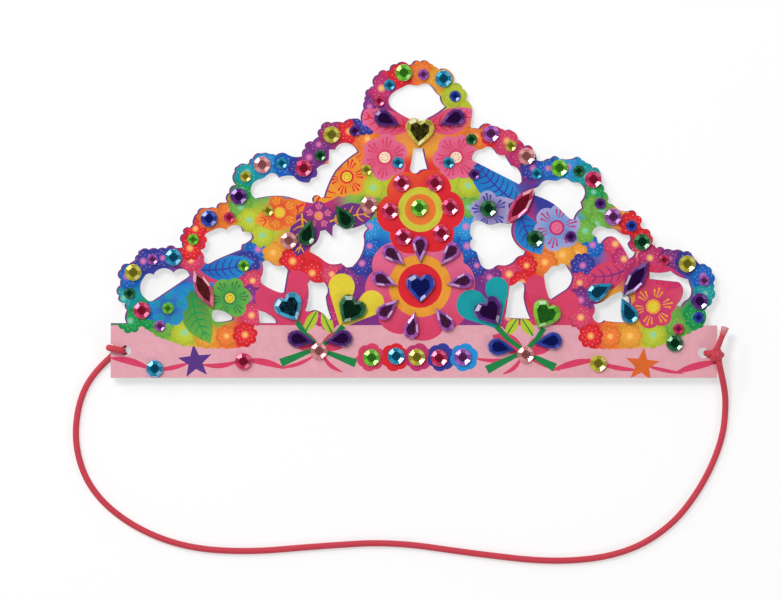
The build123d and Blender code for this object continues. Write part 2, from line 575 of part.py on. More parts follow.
def wrap_turn(middle):
    """One turn of cord round the knot, as a bevelled ring-shaped lump about middle."""
    plane = Plane(Location(middle, (0, 90, 25)))
    with BuildPart() as turn:
        with BuildSketch(plane.offset(-wrap_width / 2)):
            RegularPolygon(wrap_radius, 10)
        extrude(amount=wrap_width)
        ends = turn.part.faces().sort_by(Axis(plane.origin, plane.z_dir))
        chamfer(ends[0].edges() + ends[-1].edges(), wrap_bevel)
    return turn.part


right_loop = tie_loop(right_inner, right_outer)
right_wraps = [
    wrap_turn((knot_middle[0] + wrap_width / 2 * side, *knot_middle[1:])) for side in (-1, 1)
]
right_tail = knotted(tail_route, [tail_bend])
right_stub = knotted([cord_route[-1], tuple(stub_turn), knot_middle], [stub_bend])
with BuildPart() as cord_right_tie:
    add(right_loop)
    add(right_wraps)
    add(right_tail)
    with BuildSketch(Plane(origin=tail_route[-1], z_dir=tail_way)):
        RegularPolygon(cord_radius, cord_sides)
    extrude(amount=tail_flare, taper=-13)
    add(right_stub)
cord_right_tie.part.label = "cord_right_tie"
export_step(cord_right_tie.part, "parts/cord_right_tie.step")
print("cord_right_tie", round(cord_right_tie.part.volume), len(cord_right_tie.part.solids()), "solid")
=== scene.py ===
"""Looks for a paper crown: its printed card, stick-on stones and elastic head cord."""

import functools
import math

import bmesh
import bpy
from mathutils import Matrix, Vector
from mathutils.geometry import delaunay_2d_cdt


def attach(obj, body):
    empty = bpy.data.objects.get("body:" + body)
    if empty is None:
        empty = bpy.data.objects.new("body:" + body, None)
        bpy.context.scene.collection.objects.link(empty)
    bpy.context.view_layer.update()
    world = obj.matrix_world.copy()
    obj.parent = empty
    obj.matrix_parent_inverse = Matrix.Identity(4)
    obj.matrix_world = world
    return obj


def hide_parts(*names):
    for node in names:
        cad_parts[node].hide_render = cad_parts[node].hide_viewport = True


bl_info = {
    "name": "Paper crown looks",
    "version": (1, 0, 0),
    "blender": (4, 5, 0),
    "location": "3D View > Sidebar > Crown",
    "description": "Dresses a die-cut paper crown with its print, stones and elastic cord",
    "category": "Object",
}

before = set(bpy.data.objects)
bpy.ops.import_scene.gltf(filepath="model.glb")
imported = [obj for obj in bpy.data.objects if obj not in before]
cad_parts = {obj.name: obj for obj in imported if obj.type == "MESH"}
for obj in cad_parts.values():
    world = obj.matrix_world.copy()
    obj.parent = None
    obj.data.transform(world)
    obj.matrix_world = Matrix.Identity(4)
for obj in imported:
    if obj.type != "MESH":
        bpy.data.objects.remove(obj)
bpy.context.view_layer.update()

mm = 0.001

# Sizes of the card in millimetres, as the part's source has them
sheet_thickness = 2.0
crest_v = 73.3
band_foot_v = -73.9
tie_v = -61.5
tie_clearance = 4.2

# The card leans on its crest and on the cord under the band, so its own frame is tilted
sin_tilt = tie_clearance / (crest_v - tie_v)
cos_tilt = math.sqrt(1 - sin_tilt**2)
foot_y = -(crest_v + band_foot_v) / 2 * cos_tilt - sheet_thickness * sin_tilt / 2
foot_z = crest_v * sin_tilt
face_way = Vector((0.0, sin_tilt, cos_tilt))


def on_sheet(u, v, w=0.0):
    """A place on the card in millimetres, as a point of the row frame in metres."""
    y = foot_y + v * cos_tilt + w * sin_tilt
    z = foot_z - v * sin_tilt + w * cos_tilt
    return Vector((u * mm, y * mm, z * mm))


def off_sheet(point):
    """A point of the row frame in metres, as u, v and w on the card in millimetres."""
    y = point.y / mm - foot_y
    z = point.z / mm - foot_z
    return point.x / mm, y * cos_tilt - z * sin_tilt, y * sin_tilt + z * cos_tilt


# Colours, as red, green and blue from 0 to 255
inks = {
    "band": (221, 160, 171),
    "ribbon": (210, 58, 96),
    "red": (216, 28, 42),
    "orange": (229, 116, 42),
    "amber": (228, 152, 46),
    "yellow": (222, 200, 52),
    "lime": (178, 192, 44),
    "leaf": (104, 170, 62),
    "green": (0, 146, 72),
    "moss": (58, 122, 66),
    "stem": (18, 126, 64),
    "teal": (0, 150, 158),
    "sky": (32, 138, 204),
    "blue": (0, 94, 182),
    "indigo": (46, 54, 148),
    "purple": (120, 42, 124),
    "plum": (150, 44, 104),
    "magenta": (186, 44, 106),
    "rose": (208, 58, 98),
    "pink": (222, 104, 142),
    "lilac": (166, 160, 208),
    "cream": (244, 214, 186),
    "glow": (250, 196, 110),
    "rose_glow": (226, 120, 176),
    "mint_glow": (130, 206, 170),
    "fringe": (112, 56, 124),
    "star": (85, 46, 126),
    "ring": (198, 192, 56),
    "flame": (214, 98, 36),
    "wall": (206, 188, 206),
    "back": (232, 226, 224),
}


def linear(share):
    """One screen colour value from 0 to 1 as the light value that gives it."""
    if share <= 0.04045:
        return share / 12.92
    return ((share + 0.055) / 1.055) ** 2.4


def lit(colour):
    """A colour from 0 to 255 as three light values."""
    return tuple(linear(part / 255) for part in colour)


def ink(name):
    """A named colour as three light values."""
    return lit(inks[name])


def with_alpha(colour):
    """Three light values with a full alpha, as a colour socket takes them."""
    return (*colour[:3], 1.0)


def between(a, b, share):
    """The colour or point a share of the way from a to b."""
    return tuple(p + (q - p) * share for p, q in zip(a, b))


class CrownLooks(bpy.types.PropertyGroup):
    """Sizes and colours of the crown's looks."""

    cord_thickness: bpy.props.FloatProperty(
        name="Cord thickness",
        description="Diameter of the elastic cord",
        default=3.0 * mm,
        min=1.5 * mm,
        max=4.0 * mm,
        unit="LENGTH",
    )
    braid_pitch: bpy.props.FloatProperty(
        name="Braid pitch",
        description="Length of cord that one strand of its braid takes to go round",
        default=7.2 * mm,
        min=3.0 * mm,
        max=20.0 * mm,
        unit="LENGTH",
    )
    braid_relief: bpy.props.FloatProperty(
        name="Braid relief",
        description="How far the strands of the braid stand out of the cord",
        default=0.13 * mm,
        min=0.0,
        max=0.4 * mm,
        unit="LENGTH",
    )
    cord_colour: bpy.props.FloatVectorProperty(
        name="Cord colour",
        description="Colour of the braided elastic",
        default=lit((205, 54, 72)),
        size=3,
        min=0.0,
        max=1.0,
        subtype="COLOR",
    )
    rosette_step: bpy.props.FloatProperty(
        name="Rosette step",
        description="Distance between the printed rosettes along each run",
        default=8.4 * mm,
        min=4.0 * mm,
        max=14.0 * mm,
        unit="LENGTH",
    )
    print_shift: bpy.props.FloatProperty(
        name="Print shift",
        description="How far the print lies to the right of the cut edge",
        default=0.8 * mm,
        min=0.0,
        max=1.5 * mm,
        unit="LENGTH",
    )
    stone_gloss: bpy.props.FloatProperty(
        name="Stone gloss",
        description="Weight of the clear shine over the stones",
        default=0.7,
        min=0.0,
        max=1.0,
        subtype="FACTOR",
    )
    stone_wobble: bpy.props.FloatProperty(
        name="Stone wobble",
        description="How far a round stone may be turned from its neighbours",
        default=math.radians(6.0),
        min=0.0,
        max=math.radians(45.0),
        subtype="ANGLE",
    )
    floor_colour: bpy.props.FloatVectorProperty(
        name="Floor colour",
        description="Colour of the floor under the crown",
        default=(0.98, 0.98, 0.98),
        size=3,
        min=0.0,
        max=1.0,
        subtype="COLOR",
    )


class Shade:
    """A socket of a finish, so that its maths reads as plain sums."""

    def __init__(self, finish, socket):
        self.finish = finish
        self.socket = socket

    def sum_with(self, operation, first, second):
        """A Math node on two values or sockets."""
        return self.finish.node("ShaderNodeMath", {"operation": operation}, {0: first, 1: second})

    def __add__(self, other):
        return self.sum_with("ADD", self, other)

    def __radd__(self, other):
        return self.sum_with("ADD", other, self)

    def __sub__(self, other):
        return self.sum_with("SUBTRACT", self, other)

    def __rsub__(self, other):
        return self.sum_with("SUBTRACT", other, self)

    def __mul__(self, other):
        return self.sum_with("MULTIPLY", self, other)

    def __rmul__(self, other):
        return self.sum_with("MULTIPLY", other, self)


class Finish:
    """A material, or a world, in the making."""

    def __init__(self, name, end="ShaderNodeOutputMaterial"):
        self.end = end
        homes = bpy.data.worlds if end == "ShaderNodeOutputWorld" else bpy.data.materials
        self.owner = homes.new(name)
        self.owner.use_nodes = True
        self.tree = self.owner.node_tree
        self.tree.nodes.clear()

    def node(self, kind, settings=None, inputs=None, out=0):
        """A new node with its settings and inputs, as the socket that comes out of it."""
        node = self.tree.nodes.new(kind)
        for name, value in (settings or {}).items():
            setattr(node, name, value)
        for name, value in (inputs or {}).items():
            if isinstance(value, Shade):
                self.tree.links.new(value.socket, node.inputs[name])
            else:
                node.inputs[name].default_value = value
        return Shade(self, node.outputs[out])

    def mix(self, factor, a, b):
        """A colour between a and b."""
        settings = {"data_type": "RGBA", "clamp_factor": True}
        return self.node("ShaderNodeMix", settings, {0: factor, 6: a, 7: b}, 2)

    def tinted(self, colour, shade):
        """A colour made lighter or darker by a shade about 1."""
        if not isinstance(colour, Shade):
            colour = tuple(colour)[:3]
        return self.node("ShaderNodeVectorMath", {"operation": "SCALE"}, {0: colour, "Scale": shade})

    def done(self, surface):
        """The material or world, with this surface on its output."""
        output = self.tree.nodes.new(self.end)
        self.tree.links.new(surface.socket, output.inputs["Surface"])
        return self.owner


def mesh_piece(name, verts, faces, materials=()):
    """A new piece in the scene, with its place in its mesh."""
    mesh = bpy.data.meshes.new(name)
    mesh.from_pydata(verts, [], faces)
    for material in materials:
        mesh.materials.append(material)
    mesh.update()
    piece = bpy.data.objects.new(name, mesh)
    bpy.context.scene.collection.objects.link(piece)
    return piece


# The card
merge_distance = 2e-6
facing_share = 0.99


def merged_copy(node):
    """A copy of a CAD node's mesh with its doubles merged."""
    copy = bmesh.new()
    copy.from_mesh(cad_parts[node].data)
    bmesh.ops.remove_doubles(copy, verts=copy.verts, dist=merge_distance)
    copy.normal_update()
    copy.verts.ensure_lookup_table()
    return copy


def rings_of(edges):
    """The closed rings of points that a set of edges makes."""
    following = {}
    for a, b in edges:
        following.setdefault(a, []).append(b)
        following.setdefault(b, []).append(a)
    rings = []
    while following:
        start = next(iter(following))
        ring = [start]
        here = following[start][0]
        before = start
        while here != start:
            ring.append(here)
            ways = following[here]
            after = ways[0] if ways[0] != before else ways[1]
            before, here = here, after
        for place in ring:
            del following[place]
        rings.append(ring)
    return rings


def area_of(points):
    """The signed area inside a ring of points."""
    pairs = zip(points, points[1:] + points[:1])
    return sum(a[0] * b[1] - b[0] * a[1] for a, b in pairs) / 2


def anticlockwise(points):
    """The ring's points, turned about where they run clockwise."""
    points = [tuple(p) for p in points]
    if area_of(points) < 0:
        points.reverse()
    return points


def cut_edges():
    """The card's outer edge, then its openings, in millimetres on the card."""
    copy = merged_copy("crown_sheet")
    face = {f for f in copy.faces if f.normal.dot(face_way) > facing_share}
    edges = []
    for edge in copy.edges:
        if sum(f in face for f in edge.link_faces) == 1:
            edges.append(tuple(v.index for v in edge.verts))
    rings = []
    for ring in rings_of(edges):
        rings.append(anticlockwise([off_sheet(copy.verts[k].co)[:2] for k in ring]))
    copy.free()
    rings.sort(key=lambda ring: -area_of(ring))
    return rings


def tangents_of(points, sharp):
    """The way through each point of a ring, or None at a notch that turns by more than sharp."""
    tangents = []
    for k, point in enumerate(points):
        before = point - points[k - 1]
        after = points[(k + 1) % len(points)] - point
        turn = abs(math.degrees(before.angle_signed(after, 0.0)))
        if turn > sharp:
            tangents.append(None)
        else:
            way = before.normalized() * after.length + after.normalized() * before.length
            tangents.append(way.normalized())
    return tangents


def soften(ring, top, sharp=38.0):
    """The ring with its short flats bent into curves no higher than top, and its notches kept."""
    least_flat = 0.5
    short_flat = 3.0
    long_flat = 8.0
    points = [Vector(p) for p in ring]
    tangents = tangents_of(points, sharp)
    curved = []
    for k, a in enumerate(points):
        b = points[(k + 1) % len(points)]
        chord = b - a
        curved.append(tuple(a))
        start = tangents[k]
        end = tangents[(k + 1) % len(points)]
        if (start is None and end is None) or chord.length < least_flat:
            continue
        along = chord.normalized()
        if start is None:
            start = along * 2 * along.dot(end) - end
        if end is None:
            end = along * 2 * along.dot(start) - start
        most = math.radians(18.0 if chord.length < long_flat else 9.0)
        start = held(start, along, most)
        end = held(end, along, most)
        handle = chord.length / 3
        steps = 3 if chord.length < short_flat else 5
        for step in range(1, steps):
            t = step / steps
            s = 1 - t
            place = a * s**3 + (a + start * handle) * 3 * s * s * t
            place += (b - end * handle) * 3 * s * t * t + b * t**3
            curved.append((place.x, min(place.y, top)))
    return curved


def held(way, along, most):
    """A direction turned back to within most of along."""
    turn = along.angle_signed(way, 0.0)
    if abs(turn) <= most:
        return way
    turned = most if turn > 0 else -most
    return Matrix.Rotation(-turned, 2) @ along


# Printed shapes, each a ring of points in millimetres on the card
def disc(u, v, radius, sides=26):
    """A round spot."""
    turns = [2 * math.pi * k / sides for k in range(sides)]
    return [(u + radius * math.cos(t), v + radius * math.sin(t)) for t in turns]


def rosette(u, v, radius, lobes=7, depth=0.14, turn=0.0, fine=6):
    """A round blossom with scalloped lobes."""
    points = []
    for k in range(lobes * fine):
        t = 2 * math.pi * k / (lobes * fine)
        swell = abs(math.cos(lobes * t / 2)) ** 0.7
        r = radius * (1 - depth + depth * swell)
        points.append((u + r * math.cos(t + turn), v + r * math.sin(t + turn)))
    return points


def star(u, v, radius, turn=90.0, waist=0.42):
    """A star of five points."""
    points = []
    for k in range(10):
        t = math.radians(turn + 36 * k)
        r = radius if k % 2 == 0 else radius * waist
        points.append((u + r * math.cos(t), v + r * math.sin(t)))
    return points


def petal(foot, head, width):
    """A drop with its point at foot and its round end about head."""
    foot = Vector(foot)
    head = Vector(head)
    way = (head - foot).normalized()
    side = Vector((-way.y, way.x))
    r = width / 2
    spread = math.asin(min(0.95, r / (head - foot).length))
    steps = 16
    first = -math.pi / 2 - spread
    last = math.pi / 2 + spread
    points = [tuple(foot)]
    for k in range(steps + 1):
        t = first + (last - first) * k / steps
        points.append(tuple(head + way * (r * math.cos(t)) + side * (r * math.sin(t))))
    return points


def blade(foot, tip, width, bow=0.0):
    """A leaf pointed at both ends, bowed to its left by bow."""
    foot = Vector(foot)
    tip = Vector(tip)
    way = tip - foot
    side = Vector((-way.y, way.x)).normalized()
    steps = 9
    right = [(k, -1) for k in range(steps + 1)]
    left = [(k, 1) for k in range(steps - 1, 0, -1)]
    points = []
    for k, hand in right + left:
        t = k / steps
        swell = math.sin(math.pi * t)
        middle = foot + way * t + side * bow * swell
        points.append(tuple(middle + side * hand * width / 2 * swell ** 0.8))
    return points


def stripe(places, widths):
    """A band of changing width along a line of places."""
    left = []
    right = []
    last = len(places) - 1
    for k, place in enumerate(places):
        before = Vector(places[max(0, k - 1)])
        after = Vector(places[min(last, k + 1)])
        way = (after - before).normalized()
        side = Vector((-way.y, way.x)) * widths[k] / 2
        left.append(tuple(Vector(place) + side))
        right.append(tuple(Vector(place) - side))
    return right + left[::-1]


def plain(name):
    """One colour all over."""
    colour = ink(name)
    return lambda under, u, v: colour


def blend_of(first, second, a, b):
    """A colour that changes from first at a to second at b."""
    one = ink(first)
    two = ink(second)
    way = Vector(b) - Vector(a)

    def paint(under, u, v):
        share = (Vector((u, v)) - Vector(a)).dot(way) / way.length_squared
        return between(one, two, min(1.0, max(0.0, share)))

    return paint


def soft_spot(u0, v0, radius, name, strength=1.0):
    """A glow that fades to what is under it."""
    colour = ink(name)

    def paint(under, u, v):
        near = max(0.0, 1 - math.hypot(u - u0, v - v0) / radius)
        return between(under, colour, strength * near)

    return paint


def spread_from(u0, v0, radius, heart, rim):
    """A colour that changes from a flower's heart to its rim."""
    one = ink(heart)
    two = ink(rim)

    def paint(under, u, v):
        return between(one, two, min(1.0, math.hypot(u - u0, v - v0) / radius))

    return paint


# Runs of rosettes: u, v and a colour at each place
rosette_runs = [
    [
        (-131.0, -47.5, "green"), (-134.0, -37.0, "teal"), (-132.5, -27.0, "blue"),
        (-125.0, -20.0, "indigo"), (-116.0, -18.5, "indigo"), (-107.0, -18.0, "purple"),
        (-103.0, -19.5, "rose"),
    ],
    [
        (-103.5, -14.0, "red"), (-101.0, -5.0, "red"), (-94.0, 0.5, "orange"),
        (-85.0, 2.5, "orange"),
    ],
    [
        (-80.0, 5.0, "leaf"), (-79.5, 13.0, "green"), (-77.0, 21.0, "teal"),
        (-69.0, 25.0, "sky"), (-60.0, 24.5, "blue"), (-52.5, 23.5, "indigo"),
    ],
    [
        (-48.5, 28.0, "purple"), (-44.0, 34.0, "purple"), (-38.5, 40.0, "plum"),
        (-30.0, 40.0, "red"), (-21.5, 36.5, "orange"),
    ],
    [
        (-22.5, 44.0, "indigo"), (-20.5, 51.5, "purple"), (-15.0, 60.0, "magenta"),
        (-6.0, 66.5, "red"), (4.0, 67.5, "orange"), (12.0, 64.5, "amber"), (19.0, 57.0, "lime"),
    ],
    [
        (28.5, 37.5, "orange"), (36.0, 38.0, "red"), (43.0, 35.5, "rose"),
        (50.0, 28.5, "magenta"), (54.0, 22.0, "purple"),
    ],
    [
        (55.0, 23.0, "indigo"), (62.0, 23.0, "blue"), (71.0, 23.5, "sky"), (79.5, 19.5, "teal"),
        (83.0, 12.0, "green"), (83.0, 4.5, "leaf"),
    ],
    [
        (87.0, 3.5, "leaf"), (94.0, 0.5, "amber"), (101.0, -3.0, "red"), (105.5, -10.5, "red"),
        (104.0, -17.0, "rose"),
    ],
    [
        (109.0, -18.5, "magenta"), (118.0, -19.0, "purple"), (127.0, -20.5, "indigo"),
        (133.5, -27.0, "blue"), (134.5, -35.0, "teal"), (131.0, -45.0, "green"),
    ],
    [
        (-72.0, -14.5, "blue"), (-65.0, -16.0, "amber"), (-56.0, -20.0, "red"),
        (-47.0, -25.5, "red"), (-38.0, -26.0, "rose"), (-30.0, -28.0, "purple"),
        (-24.0, -21.0, "indigo"), (-20.5, -13.0, "blue"), (-20.5, -4.0, "sky"),
        (-20.0, 5.0, "leaf"), (-19.0, 14.0, "lime"),
    ],
    [
        (82.5, -12.5, "blue"), (75.5, -16.5, "amber"), (68.5, -17.0, "amber"), (60.5, -20.5, "orange"),
        (52.0, -22.0, "red"), (44.0, -26.0, "rose"), (35.0, -27.5, "purple"),
        (29.0, -22.0, "indigo"), (24.5, -13.0, "blue"), (24.0, -4.0, "sky"),
        (25.0, 5.0, "leaf"), (25.0, 15.0, "lime"),
    ],
    [
        (-77.0, -21.0, "indigo"), (-74.5, -29.0, "rose"), (-76.0, -37.0, "purple"),
        (-75.0, -45.0, "rose"),
    ],
    [
        (78.0, -22.0, "indigo"), (76.5, -30.0, "rose"), (77.0, -38.0, "purple"),
        (77.0, -46.0, "rose"),
    ],
    [(-76.0, -1.0, "lime"), (-70.0, -8.0, "lime")],
    [(84.5, -3.0, "leaf"), (79.0, -6.0, "leaf")],
    [(93.0, -12.0, "rose"), (97.0, -19.0, "magenta")],
    [(-52.0, -31.0, "rose"), (-40.0, -46.0, "magenta")],
    [(50.0, -30.0, "red"), (43.5, -46.0, "magenta")],
    [
        (-122.0, -45.5, "green"), (-115.5, -50.0, "leaf"), (-106.0, -53.0, "lime"),
        (-96.0, -54.4, "amber"), (-86.5, -54.6, "orange"), (-78.0, -54.0, "red"),
    ],
    [
        (130.0, -45.5, "green"), (121.0, -50.0, "leaf"), (110.4, -54.0, "lime"),
        (99.7, -54.6, "amber"), (90.6, -54.8, "orange"), (81.6, -54.6, "red"),
    ],
]

# Ground colours away from the runs: u, v and a colour at each place
ground_spots = [
    (-45.0, 5.0, "magenta"), (-43.0, -3.0, "purple"), (-98.0, -26.0, "rose"), (-91.0, -46.0, "leaf"),
    (-106.0, -30.0, "blue"), (-70.0, -5.0, "lime"), (-62.0, -42.0, "ribbon"), (-52.0, -46.0, "ribbon"),
    (-38.0, -42.0, "magenta"), (-27.0, -45.0, "purple"), (49.0, 4.0, "magenta"), (42.0, 12.0, "blue"),
    (58.0, 8.0, "indigo"), (76.0, -5.0, "sky"), (101.0, -27.0, "magenta"), (96.0, -38.0, "amber"),
    (118.0, -34.0, "ribbon"), (34.0, -42.0, "purple"), (62.0, -45.0, "ribbon"), (52.0, -47.0, "ribbon"),
    (87.0, -9.0, "blue"), (95.0, -15.0, "rose"), (3.0, 36.0, "amber"), (-24.0, 31.0, "orange"),
    (28.0, 31.0, "orange"), (3.0, 45.0, "rose"), (2.0, 20.0, "red"),
]


@functools.lru_cache(maxsize=None)
def run_colour(u, v):
    """The ground between the rosettes, blended from the nearest colours."""
    total = [0.0, 0.0, 0.0]
    weights = 0.0
    for spots in rosette_runs + [ground_spots]:
        for pu, pv, name in spots:
            weight = 1 / (4.0 + (u - pu) ** 2 + (v - pv) ** 2) ** 3
            weights += weight
            for k, part in enumerate(ink(name)):
                total[k] += part * weight
    return tuple(part / weights for part in total)


rosette_radius = 5.9


def rosettes_along(run, step):
    """Rosettes along one run, each with its colour and a glowing middle."""
    layers = []
    turn = 0.4
    for (u0, v0, first), (u1, v1, second) in zip(run, run[1:]):
        length = math.hypot(u1 - u0, v1 - v0)
        count = max(1, round(length / step))
        for k in range(count):
            share = k / count
            u = u0 + (u1 - u0) * share
            v = v0 + (v1 - v0) * share
            colour = between(ink(first), ink(second), share)
            turn += 0.9
            size = rosette_radius + 0.7 * math.sin(turn * 2.3)
            layers += blossom(u, v, size, colour, turn)
    u, v, last = run[-1]
    return layers + blossom(u, v, rosette_radius, ink(last), turn)


def blossom(u, v, size, colour, turn):
    """A scalloped rosette, deeper at its rim, with a glowing heart and rings of fine dots."""

    def ground(under, pu, pv):
        out = min(1.0, math.hypot(pu - u, pv - v) / size)
        return tuple(part * (1.12 - 0.34 * out * out) for part in colour)

    red, green, blue = colour
    glow = "glow"
    if blue > max(red * 0.6, green * 1.2):
        glow = "rose_glow"
    elif green > red * 0.8:
        glow = "mint_glow"
    layers = [(rosette(u, v, size, 8, 0.17, turn), ground)]
    layers.append((rosette(u, v, size * 0.7, 8, 0.12, turn + 0.39, 3), ground))
    for share in (0.36, 0.26, 0.17, 0.08):
        layers.append((disc(u, v, size * share, 12), soft_spot(u, v, size * 0.4, glow, 0.6)))
    for k in range(8):
        for share, reach in ((0.0, 0.66), (0.5, 0.5)):
            t = turn + (k + share) * math.pi / 4
            du = size * reach * math.cos(t)
            dv = size * reach * math.sin(t)
            spot = disc(u + du, v + dv, 0.25 if share else 0.33, 5)
            layers.append((spot, soft_spot(u + du, v + dv, 1.2, "cream", 0.42)))
    return layers


def broad_leaf(foot, tip, width, near, far, vein, bow=0.0):
    """A broad leaf with a middle rib and pairs of side veins."""
    foot = Vector(foot)
    tip = Vector(tip)
    way = tip - foot
    side = Vector((-way.y, way.x)).normalized()
    layers = [(blade(tuple(foot), tuple(tip), width, bow), blend_of(near, far, foot, tip))]
    rib = []
    for k in range(7):
        t = 0.04 + 0.88 * k / 6
        rib.append(tuple(foot + way * t + side * bow * math.sin(math.pi * t)))
    layers.append((stripe(rib, [0.9, 0.9, 0.8, 0.7, 0.6, 0.5, 0.3]), plain(vein)))
    pairs = max(3, round(way.length / 4.4))
    for k in range(pairs):
        t = 0.16 + 0.62 * k / (pairs - 1)
        root = foot + way * t + side * bow * math.sin(math.pi * t)
        swell = math.sin(math.pi * min(1.0, t + 0.1)) ** 0.8
        for hand in (1, -1):
            end = root + way.normalized() * 2.4 + side * hand * width * 0.36 * swell
            middle = (root + end) / 2 - way.normalized() * 0.5
            places = [tuple(root), tuple(middle), tuple(end)]
            layers.append((stripe(places, [0.75, 0.65, 0.35]), plain(vein)))
    return layers


def great_bloom(u, v, radius, petals, turn, name, rim, vein, heart):
    """A large flower of round petals, each with three fine veins, and a ringed heart."""
    layers = []
    paint = spread_from(u, v, radius, name, rim)
    reach = radius * 0.56
    for k in range(petals):
        t = turn + 2 * math.pi * k / petals
        middle = (u + reach * math.cos(t), v + reach * math.sin(t))
        layers.append((disc(*middle, radius * 0.45, 22), paint))
    layers.append((disc(u, v, radius * 0.6, 22), paint))
    for k in range(petals):
        t = turn + 2 * math.pi * k / petals
        for lean, near, far in ((-0.24, 0.46, 0.74), (0.0, 0.42, 0.84), (0.24, 0.46, 0.74)):
            places = []
            for share, aside in ((near, 0.8), (far, 1.0)):
                a = t + lean * aside
                places.append((u + radius * share * math.cos(a), v + radius * share * math.sin(a)))
            layers.append((stripe(places, [0.4, 0.8]), plain(vein)))
            layers.append((disc(*places[1], 0.55, 8), plain(vein)))
    layers.append((rosette(u, v, radius * 0.34, 9, 0.12, turn, 3), plain(vein)))
    layers.append((disc(u, v, radius * 0.24, 18), plain(heart)))
    for k in range(7):
        t = turn + 2 * math.pi * k / 7
        spot = disc(u + radius * 0.14 * math.cos(t), v + radius * 0.14 * math.sin(t), 0.3, 5)
        layers.append((spot, plain(vein)))
    return layers


def large_motifs():
    """Large flowers and broad leaves over the ground between the runs."""
    layers = []
    for foot, tip, width, near, far, vein, bow in (
        ((-92.0, -30.0), (-128.0, -45.0), 15.0, "sky", "blue", "teal", 2.0),
        ((-103.0, -33.0), (-94.0, -58.0), 13.0, "moss", "leaf", "green", -2.0),
        ((-99.0, -24.0), (-74.0, -20.0), 12.0, "blue", "sky", "indigo", -1.5),
        ((-50.0, 7.0), (-74.0, -2.0), 14.0, "orange", "amber", "red", 1.5),
        ((-46.0, 6.0), (-22.0, 31.0), 16.0, "amber", "orange", "red", 2.0),
        ((-40.0, -2.0), (-18.0, 2.0), 12.0, "star", "purple", "amber", 1.0),
        ((-52.0, 3.0), (-54.0, -18.0), 12.0, "purple", "star", "amber", 1.5),
        ((0.0, 42.0), (-26.0, 49.0), 12.0, "ribbon", "pink", "red", 1.5),
        ((5.0, 42.0), (28.0, 50.0), 12.0, "ribbon", "pink", "red", -1.5),
        ((51.0, 4.0), (25.0, 31.0), 15.0, "sky", "blue", "indigo", 2.0),
        ((47.0, 8.0), (27.0, -1.0), 14.0, "lilac", "lilac", "star", 1.5),
        ((49.0, 3.0), (59.0, -17.0), 12.0, "blue", "sky", "indigo", -1.5),
        ((98.0, -24.0), (80.0, -27.0), 13.0, "rose", "ribbon", "purple", 1.5),
        ((103.0, -22.0), (126.0, -30.0), 12.0, "ribbon", "magenta", "red", -1.5),
        ((98.0, -33.0), (90.0, -50.0), 8.0, "amber", "orange", "red", -1.0),
    ):
        layers += broad_leaf(foot, tip, width, near, far, vein, bow)
    for u, v, radius, petals, turn, name, rim, vein, heart in (
        (-113.5, -41.5, 9.0, 5, 0.3, "indigo", "sky", "teal", "lime"),
        (-85.0, -37.0, 9.6, 6, 0.1, "green", "leaf", "moss", "yellow"),
        (-62.0, 2.5, 8.4, 5, 0.6, "red", "orange", "amber", "yellow"),
        (-31.0, 19.0, 9.6, 6, 0.2, "orange", "amber", "red", "yellow"),
        (-44.0, 1.0, 6.6, 5, 0.3, "plum", "purple", "pink", "amber"),
        (-13.5, 28.0, 10.8, 6, 0.4, "ribbon", "pink", "rose", "cream"),
        (19.5, 28.0, 10.8, 6, 0.1, "ribbon", "pink", "rose", "cream"),
        (35.0, 3.4, 9.2, 5, 0.5, "star", "lilac", "indigo", "pink"),
        (66.0, -4.5, 11.0, 6, 0.3, "sky", "lilac", "magenta", "pink"),
        (110.5, -41.0, 10.4, 6, 0.2, "magenta", "ribbon", "amber", "yellow"),
    ):
        layers += great_bloom(u, v, radius, petals, turn, name, rim, vein, heart)
    return layers


def round_flowers():
    """The two large flowers of the middle, each of plain rings."""
    upper = (3.0, 3.9)
    lower = (2.8, -31.4)
    return [
        (rosette(*lower, 25.5, 8, 0.11, 0.1, 10), blend_of("pink", "ribbon", (3, -12), (3, -52))),
        (rosette(3.0, 2.8, 20.4, 6, 0.17, 0.07, 12), blend_of("orange", "red", (-14, 30), (-2, 8))),
        (disc(*upper, 10.4, 44), plain("ring")),
        (disc(*upper, 7.2, 36), plain("orange")),
        (disc(*lower, 14.4, 52), plain("amber")),
        (disc(*lower, 10.2, 44), plain("red")),
    ]


